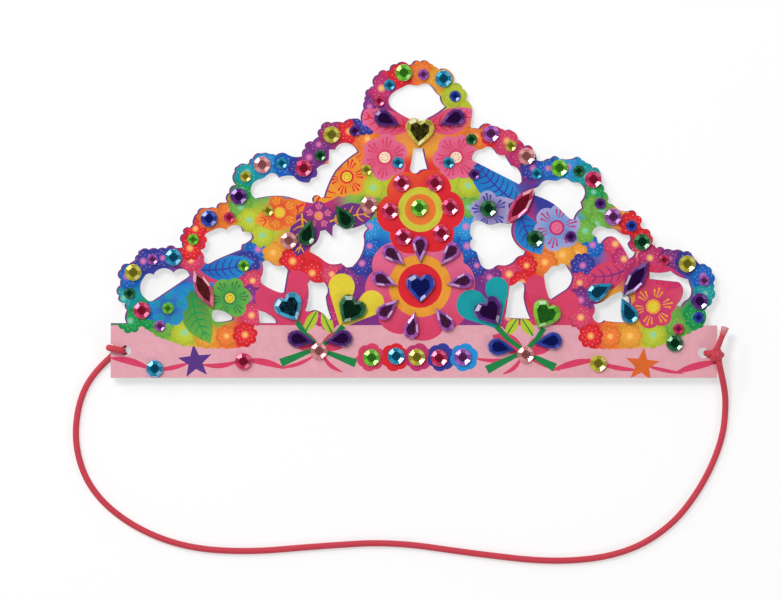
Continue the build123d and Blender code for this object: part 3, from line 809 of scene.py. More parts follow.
def tulips():
    """Plain round petals behind the hearts, with their stems, leaves and bows over the band."""
    layers = []
    for foot, head, width, name in (
        ((-55.0, -46.0), (-67.5, -37.0), 12.0, "rose"),
        ((-56.0, -46.0), (-54.0, -30.0), 11.5, "ribbon"),
        ((-34.0, -51.0), (-33.4, -31.8), 12.2, "yellow"),
        ((-34.0, -51.0), (-19.5, -39.2), 11.5, "yellow"),
        ((39.7, -51.7), (26.6, -40.2), 14.0, "teal"),
        ((39.7, -50.0), (38.3, -32.7), 10.8, "teal"),
        ((58.0, -50.0), (56.5, -31.7), 10.5, "rose"),
        ((58.0, -50.0), (69.8, -39.5), 13.0, "ribbon"),
    ):
        layers.append((petal(foot, head, width), plain(name)))
    for foot, tip in (
        ((-50.5, -53.0), (-44.5, -42.5)), ((-37.5, -54.0), (-42.5, -43.5)),
        ((42.5, -54.5), (48.0, -46.0)), ((55.0, -54.5), (49.5, -46.0)),
    ):
        layers.append((blade(foot, tip, 5.0), plain("lime")))
        layers.append((stripe([foot, tip], [0.8, 0.5]), plain("stem")))
    for u, v, lean in ((-43.5, -60.5, 0.0), (51.0, -62.0, 0.6)):
        for way in (-1, 1):
            tip = (u + way * 14.8, v + 7.2 - lean * way)
            layers.append((blade((u, v), tip, 8.6), plain("ribbon")))
    for places in (
        [(-54.0, -48.0), (-50.0, -54.0), (-43.5, -60.0)],
        [(-32.5, -50.0), (-37.0, -55.0), (-43.5, -60.0)],
        [(38.0, -50.0), (43.0, -55.5), (51.0, -61.5)],
        [(60.0, -51.0), (56.5, -56.5), (51.0, -61.5)],
    ):
        layers.append((stripe(places, [2.6, 2.4, 2.0]), plain("stem")))
    for foot, tip in (
        ((-46.0, -60.6), (-61.5, -67.0)), ((-41.5, -61.6), (-26.8, -67.2)),
        ((49.0, -62.6), (33.6, -70.2)), ((53.0, -63.0), (65.2, -69.2)),
    ):
        layers.append((stripe([foot, tip], [1.8, 4.0]), plain("stem")))
    return layers


band_top_v = -49.6
band_reach = 140.5
fringe_foot_v = -49.4


def band_print():
    """The pink band with its waving ribbon, stars and small blossoms."""
    foot = band_foot_v - 1
    ground = [
        (-band_reach, foot), (band_reach, foot), (band_reach, band_top_v), (-band_reach, band_top_v),
    ]
    layers = [(ground, plain("band"))]
    for a, b, width, bow in (
        ((-141.0, -64.6), (-121.0, -70.0), 3.2, 1.0), ((-120.0, -70.4), (-103.0, -66.8), 2.2, -0.6),
        ((-99.0, -67.6), (-80.0, -65.8), 2.4, -1.6), ((-79.0, -65.6), (-59.0, -69.8), 3.2, 1.0),
        ((-63.0, -69.4), (-45.0, -63.0), 1.8, -1.4), ((-42.5, -62.5), (-32.5, -71.4), 2.0, -1.6),
        ((-30.0, -66.8), (-21.0, -62.8), 1.8, 0.0), ((26.0, -64.4), (50.0, -63.6), 1.9, -2.0),
        ((50.0, -63.6), (40.5, -72.4), 2.0, 1.6), ((52.0, -64.0), (68.0, -70.8), 1.6, -0.6),
        ((63.0, -70.8), (85.0, -65.6), 3.2, 1.0), ((84.0, -66.6), (104.0, -70.4), 2.3, -0.8),
        ((106.0, -68.0), (125.0, -72.0), 1.8, -0.4), ((120.0, -71.8), (141.5, -66.2), 3.4, 0.6),
    ):
        layers.append((blade(a, b, width, bow), plain("ribbon")))
    layers.append((star(-101.0, -66.4, 8.2, 96.0), plain("star")))
    layers.append((star(105.4, -68.0, 8.2, 84.0), plain("flame")))
    for u, name in ((-20.0, "ribbon"), (-8.8, "red"), (2.0, "magenta"), (12.6, "indigo"), (23.2, "sky")):
        layers.append((rosette(u, -64.4, 6.6, 6, 0.12, 0.3), plain(name)))
    return layers


def soft_strip(run):
    """Scalloped ground under a run, in colours that melt into one another."""
    layers = []
    steps = 3
    for (u0, v0, _), (u1, v1, _) in zip(run, run[1:]):
        for k in range(steps):
            u = u0 + (u1 - u0) * k / steps
            v = v0 + (v1 - v0) * k / steps
            ground = rosette(u, v, 6.0, 8, 0.1, 0.7 * k)
            layers.append((ground, lambda under, pu, pv: run_colour(pu, pv)))
    return layers


def print_layers(step):
    """Every printed shape from the lowest to the highest."""
    layers = band_print()
    for run in rosette_runs:
        ends_on_band = run[-1][1] < band_top_v
        if ends_on_band:
            layers += soft_strip(run)
        layers += rosettes_along(run, step)
    return layers + large_motifs() + round_flowers() + tulips()


def crossed(rings, layers, shift):
    """The printed face as triangles: places, triangles and the colours of their corners."""
    drop = shift * 0.35
    weld = 1e-4
    coords = []
    faces = []

    def take(points):
        start = len(coords)
        points = anticlockwise(points)
        coords.extend(Vector(p) for p in points)
        faces.append(list(range(start, start + len(points))))
        return len(faces) - 1

    edge = take(rings[0])
    gaps = {take(ring) for ring in rings[1:]}
    shifted = [[(u + shift, v - drop) for u, v in ring] for ring in rings]
    shifted_edge = take(shifted[0])
    shifted_gaps = {take(ring) for ring in shifted[1:]}
    paints = {take(points): paint for points, paint in layers}
    verts, _, triangles, _, _, within = delaunay_2d_cdt(coords, [], faces, 0, weld, True)
    fringe = ink("fringe")
    kept = []
    colours = []
    for triangle, inside in zip(triangles, within):
        inside = set(inside)
        if edge not in inside or inside & gaps:
            continue
        middle_v = sum(verts[k][1] for k in triangle) / 3
        on_fringe = shifted_edge not in inside or inside & shifted_gaps
        kept.append(triangle)
        order = sorted(k for k in inside if k in paints)
        corners = []
        for k in triangle:
            u, v = verts[k]
            if on_fringe and middle_v > fringe_foot_v:
                corners.append(fringe)
                continue
            colour = run_colour(u, v)
            for layer in order:
                colour = paints[layer](colour, u, v)
            corners.append(colour)
        colours.append(corners)
    return [tuple(p) for p in verts], kept, colours


def card_finish():
    """Matt printed card with a brushed wash and a felted grain."""
    finish = Finish("felted_card")
    place = finish.node("ShaderNodeTexCoord", None, None, "Object")
    printed = finish.node("ShaderNodeVertexColor", {"layer_name": "print"})
    fibre = finish.node("ShaderNodeTexNoise", None,
                        {"Vector": place, "Scale": 1700.0, "Detail": 3.0, "Roughness": 0.65})
    cloud = finish.node("ShaderNodeTexNoise", None,
                        {"Vector": place, "Scale": 160.0, "Detail": 3.0, "Distortion": 1.2})
    wash = finish.node("ShaderNodeTexNoise", None,
                       {"Vector": place, "Scale": 330.0, "Detail": 3.0, "Distortion": 0.8}, "Color")
    hues = finish.node("ShaderNodeVectorMath", {"operation": "MULTIPLY_ADD"},
                       {0: wash, 1: (0.2, 0.22, 0.2), 2: (0.9, 0.89, 0.9)})
    painted = finish.node("ShaderNodeVectorMath", {"operation": "MULTIPLY"}, {0: printed, 1: hues})
    shade = (fibre - 0.5) * 0.34 + (cloud - 0.5) * 0.2 + 1.0
    bump = finish.node("ShaderNodeBump", None,
                       {"Height": fibre, "Strength": 0.35, "Distance": 0.0002})
    surface = finish.node("ShaderNodeBsdfPrincipled", None, {
        "Base Color": finish.tinted(painted, shade),
        "Roughness": 0.62 + fibre * 0.2,
        "Specular IOR Level": 0.25,
        "Normal": bump,
    })
    return finish.done(surface)


def back_triangles(spots, rings):
    """The triangles that fill the largest of the rings of spot numbers, but not the others."""
    weld = 1e-6
    rings = sorted(rings, key=lambda ring: -abs(area_of([spots[k] for k in ring])))
    coords = []
    flat_faces = []
    names = []
    for ring in rings:
        if area_of([spots[k] for k in ring]) < 0:
            ring.reverse()
        start = len(coords)
        coords.extend(Vector(spots[k]) for k in ring)
        names.extend(ring)
        flat_faces.append(list(range(start, start + len(ring))))
    _, _, triangles, origins, _, within = delaunay_2d_cdt(coords, [], flat_faces, 0, weld, True)
    filled = []
    for triangle, inside in zip(triangles, within):
        if 0 in inside and len(set(inside)) == 1:
            filled.append([names[origins[k][0]] for k in triangle])
    return filled


def closed_sheet(places, triangles, colours):
    """The printed face with its cut walls and plain back: corners, faces and the faces' colours."""
    used = sorted({k for triangle in triangles for k in triangle})
    number = {k: n for n, k in enumerate(used)}
    spots = [places[k] for k in used]
    verts = [on_sheet(u, v, sheet_thickness) for u, v in spots]
    faces = [[number[k] for k in triangle] for triangle in triangles]
    walked = dict.fromkeys(pair for face in faces for pair in zip(face, face[1:] + face[:1]))
    rim = [pair for pair in walked if (pair[1], pair[0]) not in walked]
    below = {}
    for a, _ in rim:
        below[a] = len(verts)
        verts.append(on_sheet(*spots[a]))
    walls = [[b, a, below[a], below[b]] for a, b in rim]
    backs = [[below[k] for k in reversed(face)] for face in back_triangles(spots, rings_of(rim))]
    colours = colours + [[ink("wall")] * 4] * len(walls) + [[ink("back")] * 3] * len(backs)
    return verts, faces + walls + backs, colours


def make_card(looks):
    """The printed card with its cut walls and plain back."""
    rings = cut_edges()
    top = max(v for _, v in rings[0])
    rings = [soften(ring, top) for ring in rings]
    layers = print_layers(looks.rosette_step / mm)
    places, triangles, printed = crossed(rings, layers, looks.print_shift / mm)
    verts, faces, colours = closed_sheet(places, triangles, printed)
    piece = mesh_piece("printed_card", verts, faces, [card_finish()])
    attribute = piece.data.color_attributes.new("print", "FLOAT_COLOR", "CORNER")
    values = [part for face in colours for colour in face for part in with_alpha(colour)]
    attribute.data.foreach_set("color", values)
    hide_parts("crown_sheet")
    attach(piece, "root")
    return piece


# The stones
# Tones of painted light on the stone faces, from the table's dark colour at 0 to the rim's bright colour
# at 1
back_tone = 0.3
girdle_tone = 0.7
painted_crown_tones = (0.95, 0.5, 0.72, 0.4, 0.85, 0.6, 1.0, 0.45, 0.78, 0.55)


def cut_stone(name, shape):
    """One step-cut stone from an even ring of points: girdle, broad crown facets and a table, each face
    with a painted tone of shade and reflection.
    """
    outline = shape["ring"]
    heart = shape["heart"]
    girdle = shape["girdle"]
    height = shape["height"]
    edge, table, edge_lift = shape["shares"]
    *painted_table_tones, crown = shape["painted_tones"]
    count = len(outline)
    half = count // 2
    edge_z = girdle + (height - girdle) * edge_lift
    verts = [(x, y, 0.0) for x, y in outline] + [(x, y, girdle) for x, y in outline]
    for share, z in ((edge, edge_z), (table, height), (table * 0.5, height)):
        for k in range(half):
            x, y = outline[2 * k]
            verts.append((heart + (x - heart) * share, y * share, z))
    verts.append((heart, 0.0, height))
    verts = [(x * mm, y * mm, z * mm) for x, y, z in verts]
    faces = [list(reversed(range(count)))]
    # Each face gets a tone that paints its light: low on the back and the table for painted shade,
    # higher in steps on the girdle and crown for painted reflections and glints
    painted_tones = [back_tone]
    for k in range(count):
        after = (k + 1) % count
        faces.append([k, after, count + after, count + k])
        painted_tones.append(girdle_tone)
    rim = 2 * count
    top = rim + half
    inner = top + half
    middle = inner + half
    for k in range(half):
        after = (k + 1) % half
        a = count + 2 * k
        b = count + 2 * k + 1
        c = count + (2 * k + 2) % count
        faces.append([a, b, rim + k])
        painted_tones.append(0.75 + 0.25 * (k % 2))
        faces.append([b, rim + after, rim + k])
        painted_tones.append(1.0 - 0.3 * (k % 3 == 0))
        faces.append([b, c, rim + after])
        painted_tones.append(0.9)
        faces.append([rim + k, rim + after, top + after, top + k])
        painted_tones.append(painted_crown_tones[k % len(painted_crown_tones)] * crown)
        faces.append([top + k, top + after, inner + after, inner + k])
        painted_tones.append(painted_table_tones[k % 2])
        faces.append([inner + k, inner + after, middle])
        painted_tones.append(painted_table_tones[(k + 1) % 2] * 0.6)
    mesh = bpy.data.meshes.new(name)
    mesh.from_pydata(verts, [], faces)
    mesh.update()
    layer = mesh.attributes.new("tone", "FLOAT", "FACE")
    layer.data.foreach_set("value", painted_tones)
    return bpy.data.objects.new(name, mesh)


def drop_ring(long, wide):
    """A teardrop along +X with its round end about the origin, its tip first."""
    r = wide / 2
    tip = long - r
    side = [(tip * 0.72, r * 0.36), (tip * 0.44, r * 0.70)]
    for turn in (70, 93, 116, 138, 159):
        side.append((r * math.cos(math.radians(turn)), r * math.sin(math.radians(turn))))
    below = [(x, -y) for x, y in reversed(side)]
    return [(tip, 0.0)] + side + [(-r, 0.0)] + below


def leaf_ring(long, wide):
    """A lens pointed at both ends, one of its points first."""
    half = long / 2
    side = [
        (0.8, 0.36), (0.56, 0.69), (0.29, 0.92), (0.0, 1.0), (-0.29, 0.92), (-0.56, 0.69), (-0.8, 0.36),
    ]
    above = [(half * a, wide / 2 * b) for a, b in side]
    below = [(half * a, -wide / 2 * b) for a, b in reversed(side)]
    return [(half, 0.0)] + above + [(-half, 0.0)] + below


heart_tip = 0.51


def heart_ring(wide):
    """A heart with its tip along +X, its tip first."""
    side = [
        (0.44, 0.09), (0.33, 0.2), (0.17, 0.35), (0.0, 0.465), (-0.17, 0.5), (-0.32, 0.455),
        (-0.43, 0.34), (-0.465, 0.2), (-0.43, 0.08),
    ]
    side = [(a * wide, b * wide) for a, b in side]
    below = [(x, -y) for x, y in reversed(side)]
    return [(heart_tip * wide, 0.0)] + side + [(-0.33 * wide, 0.0)] + below


heart_width = 13.7
broad_drop_size = (13.2, 8.3)
slim_drop_size = (12.8, 7.4)
marquise_size = (20.9, 7.9)

# Sizes are in millimetres. The heart is where a stone's table has its middle along X, and reach
# is how far its origin is from its tip, or 0 for a stone without one. The shares are those of
# the crown's edge and of the table, with the lift of that edge. The painted tones are the table's
# two painted shades and the painted brightness of the crown beside its rim, which above 0.92 paints
# white glints.
stone_shapes = {
    "round_large": {
        "ring": disc(0.0, 0.0, 4.05, 16), "heart": 0.0, "girdle": 0.7, "height": 2.6, "reach": 0.0,
        "shares": (0.94, 0.54, 0.59), "painted_tones": (0.16, 0.07, 1.0),
    },
    "round_small": {
        "ring": disc(0.0, 0.0, 2.7, 16), "heart": 0.0, "girdle": 0.5, "height": 1.9, "reach": 0.0,
        "shares": (0.93, 0.52, 0.55), "painted_tones": (0.2, 0.1, 0.85),
    },
    "heart": {
        "ring": heart_ring(heart_width), "heart": 0.0, "girdle": 0.8, "height": 3.2,
        "reach": heart_tip * heart_width,
        "shares": (0.94, 0.68, 0.65), "painted_tones": (0.06, 0.0, 1.12),
    },
    "drop_broad": {
        "ring": drop_ring(*broad_drop_size), "heart": 0.9, "girdle": 0.8, "height": 3.2,
        "reach": broad_drop_size[0] - broad_drop_size[1] / 2,
        "shares": (0.93, 0.62, 0.7), "painted_tones": (0.06, 0.0, 0.72),
    },
    "drop_slim": {
        "ring": drop_ring(*slim_drop_size), "heart": 0.9, "girdle": 0.8, "height": 3.0,
        "reach": slim_drop_size[0] - slim_drop_size[1] / 2,
        "shares": (0.93, 0.64, 0.78), "painted_tones": (0.07, 0.0, 1.08),
    },
    "marquise": {
        "ring": leaf_ring(*marquise_size), "heart": 0.0, "girdle": 0.8, "height": 3.2,
        "reach": marquise_size[0] / 2,
        "shares": (0.93, 0.67, 0.76), "painted_tones": (0.05, 0.0, 1.12),
    },
}

# Each stone colour: the rim's, then the table's darker one, which paints the shade seen through the
# table
stone_inks = {
    "aqua": ((54, 192, 236), (2, 20, 34)),
    "blue": ((28, 70, 190), (8, 16, 86)),
    "blush": ((240, 160, 160), (128, 66, 66)),
    "gold": ((224, 214, 70), (40, 34, 6)),
    "green": ((0, 112, 56), (0, 34, 18)),
    "lilac": ((184, 92, 206), (66, 22, 52)),
    "lime": ((132, 220, 40), (26, 92, 26)),
    "pink": ((238, 96, 138), (84, 24, 24)),
    "purple": ((98, 20, 142), (36, 2, 56)),
    "red": ((232, 48, 112), (112, 10, 30)),
    "turquoise": ((12, 164, 212), (0, 54, 80)),
    "yellow": ((216, 204, 58), (96, 90, 22)),
}


def stone_finish(colour, gloss):
    """Clear moulded stone over a foil back: facets painted bright round a table painted dark, as painted
    shade and reflections, with painted white glints on the brightest facets.
    """
    finish = Finish("faceted_" + colour)
    rim, table = [with_alpha(lit(tone)) for tone in stone_inks[colour]]
    tone = finish.node("ShaderNodeAttribute", {"attribute_name": "tone"}, None, "Fac")
    place = finish.node("ShaderNodeTexCoord", None, None, "Object")
    flaw = finish.node("ShaderNodeTexNoise", None, {"Vector": place, "Scale": 520.0, "Detail": 1.0})
    shade = (flaw - 0.5) * 0.45 + 1.0
    # Painted shade and reflection: the tone picks each facet's colour between the dark table and the
    # bright rim
    painted_facet_colour = finish.mix(tone, table, rim)
    # Painted highlight: where the tone passes 0.92 the facet is painted towards white as a glint
    painted_glint = finish.mix((tone - 0.92) * 2.4, painted_facet_colour, (1.0, 1.0, 1.0, 1.0))
    surface = finish.node("ShaderNodeBsdfPrincipled", None, {
        "Base Color": finish.tinted(painted_glint, shade),
        "Metallic": 0.3,
        "Roughness": 0.14,
        "Specular IOR Level": 0.15,
        "Coat Weight": gloss,
        "Coat Roughness": 0.06,
    })
    return finish.done(surface)


def islands_of(copy):
    """The corners of each separate solid of a mesh, in the mesh's own order."""
    islands = []
    seen = set()
    for first in copy.verts:
        if first in seen:
            continue
        seen.add(first)
        island = [first]
        edge = [first]
        while edge:
            for link in edge.pop().link_edges:
                for vert in link.verts:
                    if vert not in seen:
                        seen.add(vert)
                        island.append(vert)
                        edge.append(vert)
        islands.append(island)
    return islands


def foot_ring(copy, island):
    """The edge of a stone's flat back, in millimetres on the card."""
    backs = {f for v in island for f in v.link_faces if f.normal.dot(face_way) < -facing_share}
    rim = []
    for f in copy.faces:
        if f not in backs:
            continue
        for e in f.edges:
            if sum(g in backs for g in e.link_faces) == 1:
                rim.append(tuple(v.index for v in e.verts))
    return anticlockwise([off_sheet(copy.verts[k].co)[:2] for k in rings_of(rim)[0]])


def middle_of(ring):
    """The mean of a ring's points."""
    return Vector([sum(p[k] for p in ring) / len(ring) for k in (0, 1)])


def tip_of(ring):
    """The sharpest of the points where a ring that runs anticlockwise bulges."""

    def bulge(k):
        before = Vector(ring[k]) - Vector(ring[k - 1])
        after = Vector(ring[(k + 1) % len(ring)]) - Vector(ring[k])
        return abs(before.angle_signed(after, 0.0)) if before.cross(after) > 0 else 0.0

    return Vector(ring[max(range(len(ring)), key=bulge)])


def stone_places(node, reach):
    """Where the stones of a CAD node stand: u, v and turn of each."""
    round_turn = math.pi / 8
    copy = merged_copy(node)
    places = []
    for island in islands_of(copy):
        ring = foot_ring(copy, island)
        if reach:
            tip = tip_of(ring)
            out = (tip - middle_of(ring)).normalized()
            middle = tip - out * reach
            turn = math.atan2(out.y, out.x)
        else:
            middle = middle_of(ring)
            turn = round_turn
        places.append((middle.x, middle.y, turn))
    copy.free()
    return places


def setter_tree():
    """Sets one stone on every point, turned by the point's own angle and a small wobble."""
    tree = bpy.data.node_groups.new("stone_setter", "GeometryNodeTree")
    for name, kind in (
        ("Places", "Geometry"), ("Stone", "Object"), ("Wobble", "Float"), ("Seed", "Int"),
        ("Tilt", "Vector"), ("Foot", "Vector"), ("Finish", "Material"),
    ):
        tree.interface.new_socket(name, in_out="INPUT", socket_type="NodeSocket" + kind)
    tree.interface.new_socket("Stones", in_out="OUTPUT", socket_type="NodeSocketGeometry")
    add = tree.nodes.new
    link = tree.links.new
    given = add("NodeGroupInput")
    result = add("NodeGroupOutput")
    shape = add("GeometryNodeObjectInfo")
    shape.transform_space = "ORIGINAL"
    link(given.outputs["Stone"], shape.inputs["Object"])
    turn = add("GeometryNodeInputNamedAttribute")
    turn.data_type = "FLOAT"
    turn.inputs["Name"].default_value = "turn"
    chance = add("FunctionNodeRandomValue")
    chance.data_type = "FLOAT"
    negative = add("ShaderNodeMath")
    negative.operation = "MULTIPLY"
    negative.inputs[1].default_value = -1.0
    link(given.outputs["Wobble"], negative.inputs[0])
    floats = [s for s in chance.inputs if s.type == "VALUE" and s.enabled]
    link(negative.outputs[0], floats[0])
    link(given.outputs["Wobble"], floats[1])
    link(given.outputs["Seed"], chance.inputs["Seed"])
    whole = add("ShaderNodeMath")
    whole.operation = "ADD"
    link(turn.outputs["Attribute"], whole.inputs[0])
    value_out = [s for s in chance.outputs if s.type == "VALUE" and s.enabled][0]
    link(value_out, whole.inputs[1])
    angle = add("ShaderNodeCombineXYZ")
    link(whole.outputs[0], angle.inputs["Z"])
    euler = add("FunctionNodeEulerToRotation")
    link(angle.outputs[0], euler.inputs[0])
    points = add("GeometryNodeInstanceOnPoints")
    link(given.outputs["Places"], points.inputs["Points"])
    link(shape.outputs["Geometry"], points.inputs["Instance"])
    link(euler.outputs[0], points.inputs["Rotation"])
    lean = add("GeometryNodeTransform")
    link(points.outputs["Instances"], lean.inputs["Geometry"])
    link(given.outputs["Foot"], lean.inputs["Translation"])
    link(given.outputs["Tilt"], lean.inputs["Rotation"])
    real = add("GeometryNodeRealizeInstances")
    link(lean.outputs[0], real.inputs[0])
    coat = add("GeometryNodeSetMaterial")
    link(real.outputs[0], coat.inputs["Geometry"])
    link(given.outputs["Finish"], coat.inputs["Material"])
    link(coat.outputs[0], result.inputs["Stones"])
    return tree


def as_plain_mesh(piece, name):
    """The piece as its modifiers make it, as a plain mesh without them."""
    bpy.context.view_layer.update()
    seen = piece.evaluated_get(bpy.context.evaluated_depsgraph_get())
    mesh = bpy.data.meshes.new_from_object(seen)
    piece.modifiers.clear()
    piece.data = mesh
    mesh.name = name
    return piece


def set_stones(node, shape, tree, colour, finish, looks, seed):
    """Replaces one CAD node of stones by faceted ones."""
    reach = stone_shapes[shape.name]["reach"]
    places = stone_places(node, reach)
    piece = mesh_piece("stones_" + node, [(u * mm, v * mm, 0.0) for u, v, _ in places], [])
    turns = piece.data.attributes.new("turn", "FLOAT", "POINT")
    turns.data.foreach_set("value", [turn for _, _, turn in places])
    modifier = piece.modifiers.new("Setter", "NODES")
    modifier.node_group = tree
    inputs = {s.name: s.identifier for s in tree.interface.items_tree if s.in_out == "INPUT"}
    modifier[inputs["Stone"]] = shape
    modifier[inputs["Wobble"]] = 0.0 if reach else looks.stone_wobble
    modifier[inputs["Seed"]] = seed
    modifier[inputs["Tilt"]] = (-math.asin(sin_tilt), 0.0, 0.0)
    modifier[inputs["Foot"]] = tuple(on_sheet(0.0, 0.0, sheet_thickness))
    modifier[inputs["Finish"]] = finish
    as_plain_mesh(piece, piece.name)
    if len(piece.data.polygons) == 0:
        raise RuntimeError(node + " has no stones")
    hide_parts(node)
    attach(piece, "root")
    "stone_" + colour
    return piece


def shape_of(node):
    """The name of the shape that the stones of a CAD node have."""
    words = node.split("_")
    if words[0] == "round":
        return "_".join(words[:2])
    if words[0] == "drop":
        return "drop_slim" if node == "drop_lilac" else "drop_broad"
    return words[0]


def make_stones(looks):
    """All the stones, those of each CAD node in its own shape and colour."""
    tree = setter_tree()
    shapes = {name: cut_stone(name, shape) for name, shape in stone_shapes.items()}
    finishes = {colour: stone_finish(colour, looks.stone_gloss) for colour in stone_inks}
    for seed, node in enumerate(sorted(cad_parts)):
        if shape_of(node) in shapes:
            colour = [word for word in node.split("_") if word in stone_inks][0]
            set_stones(node, shapes[shape_of(node)], tree, colour, finishes[colour], looks, seed)


# The cord, in millimetres; the route is the source's own
cord_route = [
    (-139.0, -63.2, 1.5), (-148.7, -71.5, 1.5), (-155.7, -87.0, 1.5), (-156.8, -107.0, 1.5),
    (-149.2, -126.5, 1.5), (-131.5, -142.0, 1.5), (-107.0, -152.2, 1.5), (-78.0, -154.6, 1.5),
    (-43.0, -151.6, 1.5), (-10.0, -149.6, 1.5), (28.0, -155.2, 1.5), (66.0, -159.4, 1.5),
    (97.0, -155.6, 1.5), (119.0, -142.8, 1.5), (133.6, -123.6, 1.5), (142.6, -103.0, 1.5),
    (144.4, -86.0, 1.6), (142.9, -75.6, 5.0), (141.0, -68.4, 8.5),
]
left_loop_route = [
    (-137.6, -60.6, 1.6), (-135.4, -61.2, 1.6), (-134.5, -61.3, 3.0), (-134.4, -61.3, 6.6),
    (-134.9, -61.2, 8.7), (-137.4, -60.6, 9.0), (-140.2, -60.0, 8.6), (-140.9, -59.9, 6.4),
    (-140.8, -59.9, 3.2), (-140.0, -60.1, 1.7), (-138.0, -60.6, 1.6),
]
left_knot_route = [
    (-139.0, -63.2, 1.6), (-136.6, -61.6, 1.6), (-134.6, -59.4, 1.6), (-133.4, -57.8, 1.7),
    (-135.0, -57.2, 1.7), (-136.6, -58.6, 2.4), (-136.4, -61.0, 2.4), (-134.6, -62.6, 1.7),
    (-133.2, -61.6, 1.7),
]
right_loop_route = [
    (138.4, -63.0, 1.6), (136.2, -62.7, 1.6), (135.2, -62.5, 3.0), (135.1, -62.4, 6.6),
    (135.6, -62.5, 8.7), (138.4, -62.8, 9.0), (141.2, -63.1, 8.6), (141.9, -63.2, 6.4),
    (141.8, -63.2, 3.2), (140.9, -63.1, 1.7), (138.7, -63.0, 1.6),
]


def centreline(route):
    """The smooth line of a route in millimetres, as points in metres."""
    curve = bpy.data.curves.new("route", "CURVE")
    curve.dimensions = "3D"
    curve.resolution_u = 14
    spline = curve.splines.new("NURBS")
    spline.points.add(len(route) - 1)
    for point, (x, y, z) in zip(spline.points, route):
        point.co = (x * mm, (y + foot_y) * mm, z * mm, 1.0)
    spline.order_u = 3
    spline.use_endpoint_u = True
    line = bpy.data.objects.new("route", curve)
    bpy.context.scene.collection.objects.link(line)
    bpy.context.view_layer.update()
    seen = line.evaluated_get(bpy.context.evaluated_depsgraph_get())
    mesh = bpy.data.meshes.new_from_object(seen)
    points = [v.co.copy() for v in mesh.vertices]
    bpy.data.objects.remove(line)
    bpy.data.curves.remove(curve)
    bpy.data.meshes.remove(mesh)
    return points


def evenly(points, step):
    """Points along a line at equal steps."""
    lengths = [0.0]
    for a, b in zip(points, points[1:]):
        lengths.append(lengths[-1] + (b - a).length)
    count = max(2, round(lengths[-1] / step))
    placed = []
    k = 0
    for n in range(count + 1):
        want = lengths[-1] * n / count
        while k < len(points) - 2 and lengths[k + 1] < want:
            k += 1
        span = lengths[k + 1] - lengths[k]
        share = (want - lengths[k]) / span if span else 0.0
        placed.append(points[k].lerp(points[k + 1], share))
    return placed


strands = 6
tube_sides = 24


def tube_faces(rows):
    """The walls of a tube of rows of corners, then the fans that close its two ends."""
    faces = []
    for k in range(rows - 1):
        for s in range(tube_sides):
            here = [k * tube_sides + s, k * tube_sides + (s + 1) % tube_sides]
            faces.append(here + [corner + tube_sides for corner in reversed(here)])
    for end, first in enumerate((0, (rows - 1) * tube_sides)):
        middle = rows * tube_sides + end
        for s in range(tube_sides):
            a = first + s
            b = first + (s + 1) % tube_sides
            faces.append([a, b, middle] if end else [b, a, middle])
    return faces


def lay_braid(piece, along, pitch):
    """The tube's map for its braid: how far along it in pitches, and what share of the way round."""
    uv = piece.data.uv_layers.new(name="braid")
    for polygon in piece.data.polygons:
        ends = [piece.data.loops[k].vertex_index for k in polygon.loop_indices]
        around = [end % tube_sides / tube_sides for end in ends]
        wraps = max(around) - min(around) > 0.5
        for loop, end, turn in zip(polygon.loop_indices, ends, around):
            row = min(end // tube_sides, len(along) - 1)
            if wraps and turn < 0.5:
                turn += 1.0
            uv.data[loop].uv = (along[row] / pitch, turn)
        polygon.use_smooth = True


def braided(name, points, looks, finish, swell=0.0):
    """A braided tube along a line, closed at its ends. Swell opens out its last stretch."""
    radius = looks.cord_thickness / 2 - looks.braid_relief * 0.4
    along = [0.0]
    for a, b in zip(points, points[1:]):
        along.append(along[-1] + (b - a).length)
    verts = []
    frayed = []
    last = len(points) - 1
    side = None
    for k, point in enumerate(points):
        way = (points[min(k + 1, last)] - points[max(k - 1, 0)]).normalized()
        if side is None:
            side = way.orthogonal().normalized()
        side = (side - way * side.dot(way)).normalized()
        other = way.cross(side)
        share = k / last
        opened = max(0.0, share * 9 - 8)
        drawn_in = min(1.0, max(0.0, share * 5 - 3.2))
        grow = 1.0 + swell * (opened - 0.35 * drawn_in)
        frayed += [opened * swell * 1.6] * tube_sides
        twist = along[k] / looks.braid_pitch * 2 * math.pi
        for s in range(tube_sides):
            t = 2 * math.pi * s / tube_sides
            one = math.cos(strands * (t + twist))
            two = math.cos(strands * (t - twist))
            r = (radius + looks.braid_relief * 0.5 * max(one, two)) * grow
            place = side * math.cos(t) * r + other * math.sin(t) * r
            verts.append(point + place)
    verts += [points[0].copy(), points[-1].copy()]
    frayed += [frayed[0], frayed[-1]]
    piece = mesh_piece(name, verts, tube_faces(len(points)), [finish])
    piece.data.attributes.new("frayed", "FLOAT", "POINT").data.foreach_set("value", frayed)
    lay_braid(piece, along, looks.braid_pitch)
    return piece


